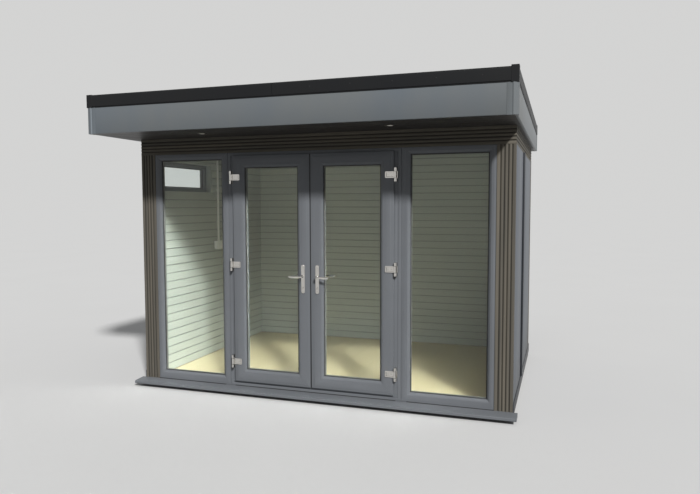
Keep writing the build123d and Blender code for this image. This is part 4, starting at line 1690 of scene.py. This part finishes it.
class POD_OT_membrane(bpy.types.Operator):
    """Makes the rubber sheet on the roof, turned up at three edges"""
    bl_idname = "pod.membrane"
    bl_label = "Roof membrane"

    def execute(self, context):
        low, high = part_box("roof_membrane")
        thickness, upturn, turn_width, unevenness = 0.004, 0.022, 0.03, 0.0012
        rear_level = low.z + 0.005
        slope = math.atan2(high.z - rear_level, high.y - low.y)
        middle = Vector(((low.x + high.x) / 2, (low.y + high.y) / 2, (high.z + rear_level) / 2))
        extent = (high.x - low.x, high.y - low.y, high.y - low.y)
        sheet = begin_plane("roof_sheet", middle, (-slope, 0, 0), extent)
        pick(sheet, "FACE", lambda face: True)
        bpy.ops.mesh.inset(thickness=turn_width, depth=0)
        inner = [vertex.index for vertex in bmesh.from_edit_mesh(sheet.data).verts if vertex.select]
        bpy.ops.mesh.subdivide(number_cuts=28)
        bpy.ops.transform.vertex_random(offset=unevenness, seed=4)
        pick(sheet, "VERT", lambda vertex: vertex.index not in inner and vertex.is_boundary
             and vertex.co.y < high.y - turn_width)
        bpy.ops.transform.translate(value=(0, 0, upturn))
        bpy.ops.object.mode_set(mode="OBJECT")
        modify(sheet, "SOLIDIFY", thickness=thickness, offset=-1.0)
        bpy.ops.object.shade_smooth_by_angle(angle=SMOOTH_ANGLE)
        finish_piece(sheet, "Roof rubber", "roof_rubber", "roof_membrane")
        return {"FINISHED"}


class POD_OT_electrics(bpy.types.Operator):
    """Makes the switch box and its conduit with clips, on the left wall"""
    bl_idname = "pod.electrics"
    bl_label = "Electrics"

    def execute(self, context):
        self.switch()
        self.conduit()
        return {"FINISHED"}

    def switch(self):
        """A double switch on a box."""
        low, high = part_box("switch_box")
        middle_y, middle_z = (low.y + high.y) / 2, (low.z + high.z) / 2
        plate, inset = 0.004, 0.001
        plate_face = high.x - 0.002
        plate_back = plate_face - plate
        box_low = (low.x, low.y + inset, low.z + inset)
        box_high = (plate_back, high.y - inset, high.z - inset)
        box = eased_block("box", box_low, box_high, 0.003, 3)
        front = begin_block("box", (plate_back, low.y, low.z), (plate_face, high.y, high.z))
        edit(front)
        pick(front, "FACE", lambda face: face.normal.x > 0.9)
        bpy.ops.mesh.inset(thickness=0.004, depth=0.001)
        parts = [box, ease(close_up(front), 0.0012)]
        for side in (-1, 1):
            rocker = begin(
                "rocker", bpy.ops.mesh.primitive_cube_add, size=1.0,
                location=(plate_face, middle_y + side * 0.033, middle_z),
                rotation=(0, side * math.radians(5), 0), scale=(0.006, 0.022, 0.036),
            )
            parts.append(ease(rocker, 0.0015))
            centre = (plate_face, middle_y + side * 0.062, middle_z)
            parts.append(screw_head("screw", "X", centre, 0.004, 0.0012))
        finish_piece(joined("switch_plate", parts), "White plastic", "white_plastic", "switch_box")

    def conduit(self):
        """A pipe up the wall, in three clips."""
        low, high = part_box("switch_conduit")
        foot, head = low.z, high.z
        radius = (high.y - low.y) / 2
        x, y = low.x + radius, (low.y + high.y) / 2
        socket, clip, strap = radius * 1.25, radius * 1.22, radius * 1.7
        pipe = [(radius, foot), (radius, head - 0.004), (radius - 0.001, head)]
        end = [(socket, foot), (socket, foot + 0.018), (radius * 1.1, foot + 0.020)]
        ring = [(radius, 0), (clip, 0), (clip, 0.012), (radius, 0.012), (radius, 0)]
        parts = [turned("conduit", "Z", (x, y, 0), profile, 28) for profile in (pipe, end)]
        for share in (0.2, 0.55, 0.9):
            level = foot + share * (head - foot)
            strap_low = (low.x, y - strap, level + 0.001)
            strap_high = (low.x + 0.004, y + strap, level + 0.011)
            parts.append(turned("clip", "Z", (x, y, level), ring, 28))
            parts.append(eased_block("clip", strap_low, strap_high, 0.001))
        finish_piece(joined("conduit_run", parts), "White plastic", "white_plastic", "switch_conduit")


class POD_OT_carried_solids(bpy.types.Operator):
    """Gives their finish to the solids that carry the rest and show only at reveals"""
    bl_idname = "pod.carried_solids"
    bl_label = "Carried solids"

    def execute(self, context):
        finishes = {
            "Wall core": ("left_wall", "right_wall", "back_wall", "roof_deck"),
            "Lining upright": ("front_corner_posts",),
            "Lining level": ("front_head_beam", "head_beam_lining"),
        }
        for material, nodes in finishes.items():
            for node in nodes:
                solid = frame["nodes"][node]
                solid.data.materials.clear()
                solid.data.materials.append(bpy.data.materials[material])
        return {"FINISHED"}


# Stage.
PALE = (0.655, 0.655, 0.65, 1.0)


def pale_floor():
    """A pale floor that keeps the shadow, and throws less light up than it shows."""
    finish = Finish("Stage floor")
    mottle = finish.noise(finish.place(), 0.8, 3.0)
    shown = finish.mix(mottle, [0.775, 0.77, 0.76, 1.0], [0.80, 0.795, 0.785, 1.0])
    finish.surface({
        "Base Color": finish.mix(finish.ray("Is Diffuse Ray"), shown, [0.24, 0.24, 0.237, 1.0]),
        "Roughness": 0.9 + mottle * 0.1,
        "Specular IOR Level": 0.0,
    })
    add = bpy.ops.mesh.primitive_grid_add
    floor = begin("stage_floor", add, x_subdivisions=8, y_subdivisions=8, size=400)
    floor.data.materials.append(finish.owner)


def pale_surroundings(strength):
    """Even light from all round, and a plain pale colour where the camera sees past the pod."""
    sky = Finish("Pale surroundings", "worlds")
    lit = sky.node("ShaderNodeBackground", inputs={"Color": (0.96, 0.98, 1.0, 1.0), "Strength": strength})
    seen = sky.node("ShaderNodeBackground", inputs={"Color": PALE})
    # A ray that has met no matt surface yet is one that the camera sees, also in glass and metal.
    unscattered = sky.sum("LESS_THAN", sky.ray("Diffuse Depth"), 0.5)
    turned_away = sky.sum("MAXIMUM", sky.ray("Is Transmission Ray"), sky.ray("Is Glossy Ray"))
    shows = turned_away * unscattered + sky.ray("Is Camera Ray")
    mixed = sky.node("ShaderNodeMixShader", inputs={0: shows, 1: lit, 2: seen})
    sky.node("ShaderNodeOutputWorld", inputs={"Surface": mixed})
    bpy.context.scene.world = sky.owner


def key_lamp(stage):
    """A soft lamp, far off, at the front right."""
    clear_selection()
    bpy.ops.object.light_add(type="SUN", location=(4, -6, 6))
    lamp = bpy.context.object
    lamp.name = "key_lamp"
    lamp.data.energy = stage.key_strength
    lamp.data.angle = stage.key_softness
    level = math.cos(stage.key_height)
    towards = Vector((
        level * math.sin(stage.key_turn), -level * math.cos(stage.key_turn), math.sin(stage.key_height),
    ))
    lamp.rotation_euler = towards.to_track_quat("Z", "Y").to_euler()


class POD_OT_stage(bpy.types.Operator):
    """Makes the floor, the soft light and the camera"""
    bl_idname = "pod.stage"
    bl_label = "Stage"

    def execute(self, context):
        stage = context.scene.pod_stage
        pale_floor()
        pale_surroundings(stage.surroundings)
        key_lamp(stage)
        clear_selection()
        bpy.ops.object.camera_add(location=stage.place, rotation=stage.turn)
        camera = context.object
        camera.data.sensor_width = 36.0
        camera.data.lens = stage.lens
        context.scene.camera = camera
        context.scene.view_settings.view_transform = "Standard"
        return {"FINISHED"}


BUILDERS = (
    POD_OT_finishes, POD_OT_base, POD_OT_floor, POD_OT_linings, POD_OT_cladding, POD_OT_fluted_boards,
    POD_OT_side_windows, POD_OT_high_window, POD_OT_door_leaves, POD_OT_hinges, POD_OT_handles,
    POD_OT_door_frame, POD_OT_fascias, POD_OT_soffit, POD_OT_edge_trims, POD_OT_membrane,
    POD_OT_electrics, POD_OT_carried_solids, POD_OT_stage,
)


class POD_PT_panel(bpy.types.Panel):
    """Lists the pieces of the pod in the order in which they are made"""
    bl_idname = "POD_PT_panel"
    bl_label = "Garden Office Pod"
    bl_space_type = "VIEW_3D"
    bl_region_type = "UI"
    bl_category = "Garden Pod"

    def draw(self, context):
        layout = self.layout
        for group in (context.scene.pod_colours, context.scene.pod_sizes, context.scene.pod_stage):
            column = layout.column(align=True)
            for name in group.__annotations__:
                column.prop(group, name)
        for builder in BUILDERS:
            layout.operator(builder.bl_idname)


GROUPS = {"pod_colours": PodColours, "pod_sizes": PodSizes, "pod_stage": PodStage}


def register():
    for name, group in GROUPS.items():
        bpy.utils.register_class(group)
        setattr(bpy.types.Scene, name, PointerProperty(type=group))
    for part in (*BUILDERS, POD_PT_panel):
        bpy.utils.register_class(part)


def unregister():
    for part in (POD_PT_panel, *reversed(BUILDERS)):
        bpy.utils.unregister_class(part)
    for name, group in reversed(GROUPS.items()):
        delattr(bpy.types.Scene, name)
        bpy.utils.unregister_class(group)


def main():
    register()
    for builder in BUILDERS:
        group, name = builder.bl_idname.split(".")
        getattr(getattr(bpy.ops, group), name)()


if __name__ == "__main__":
    main()
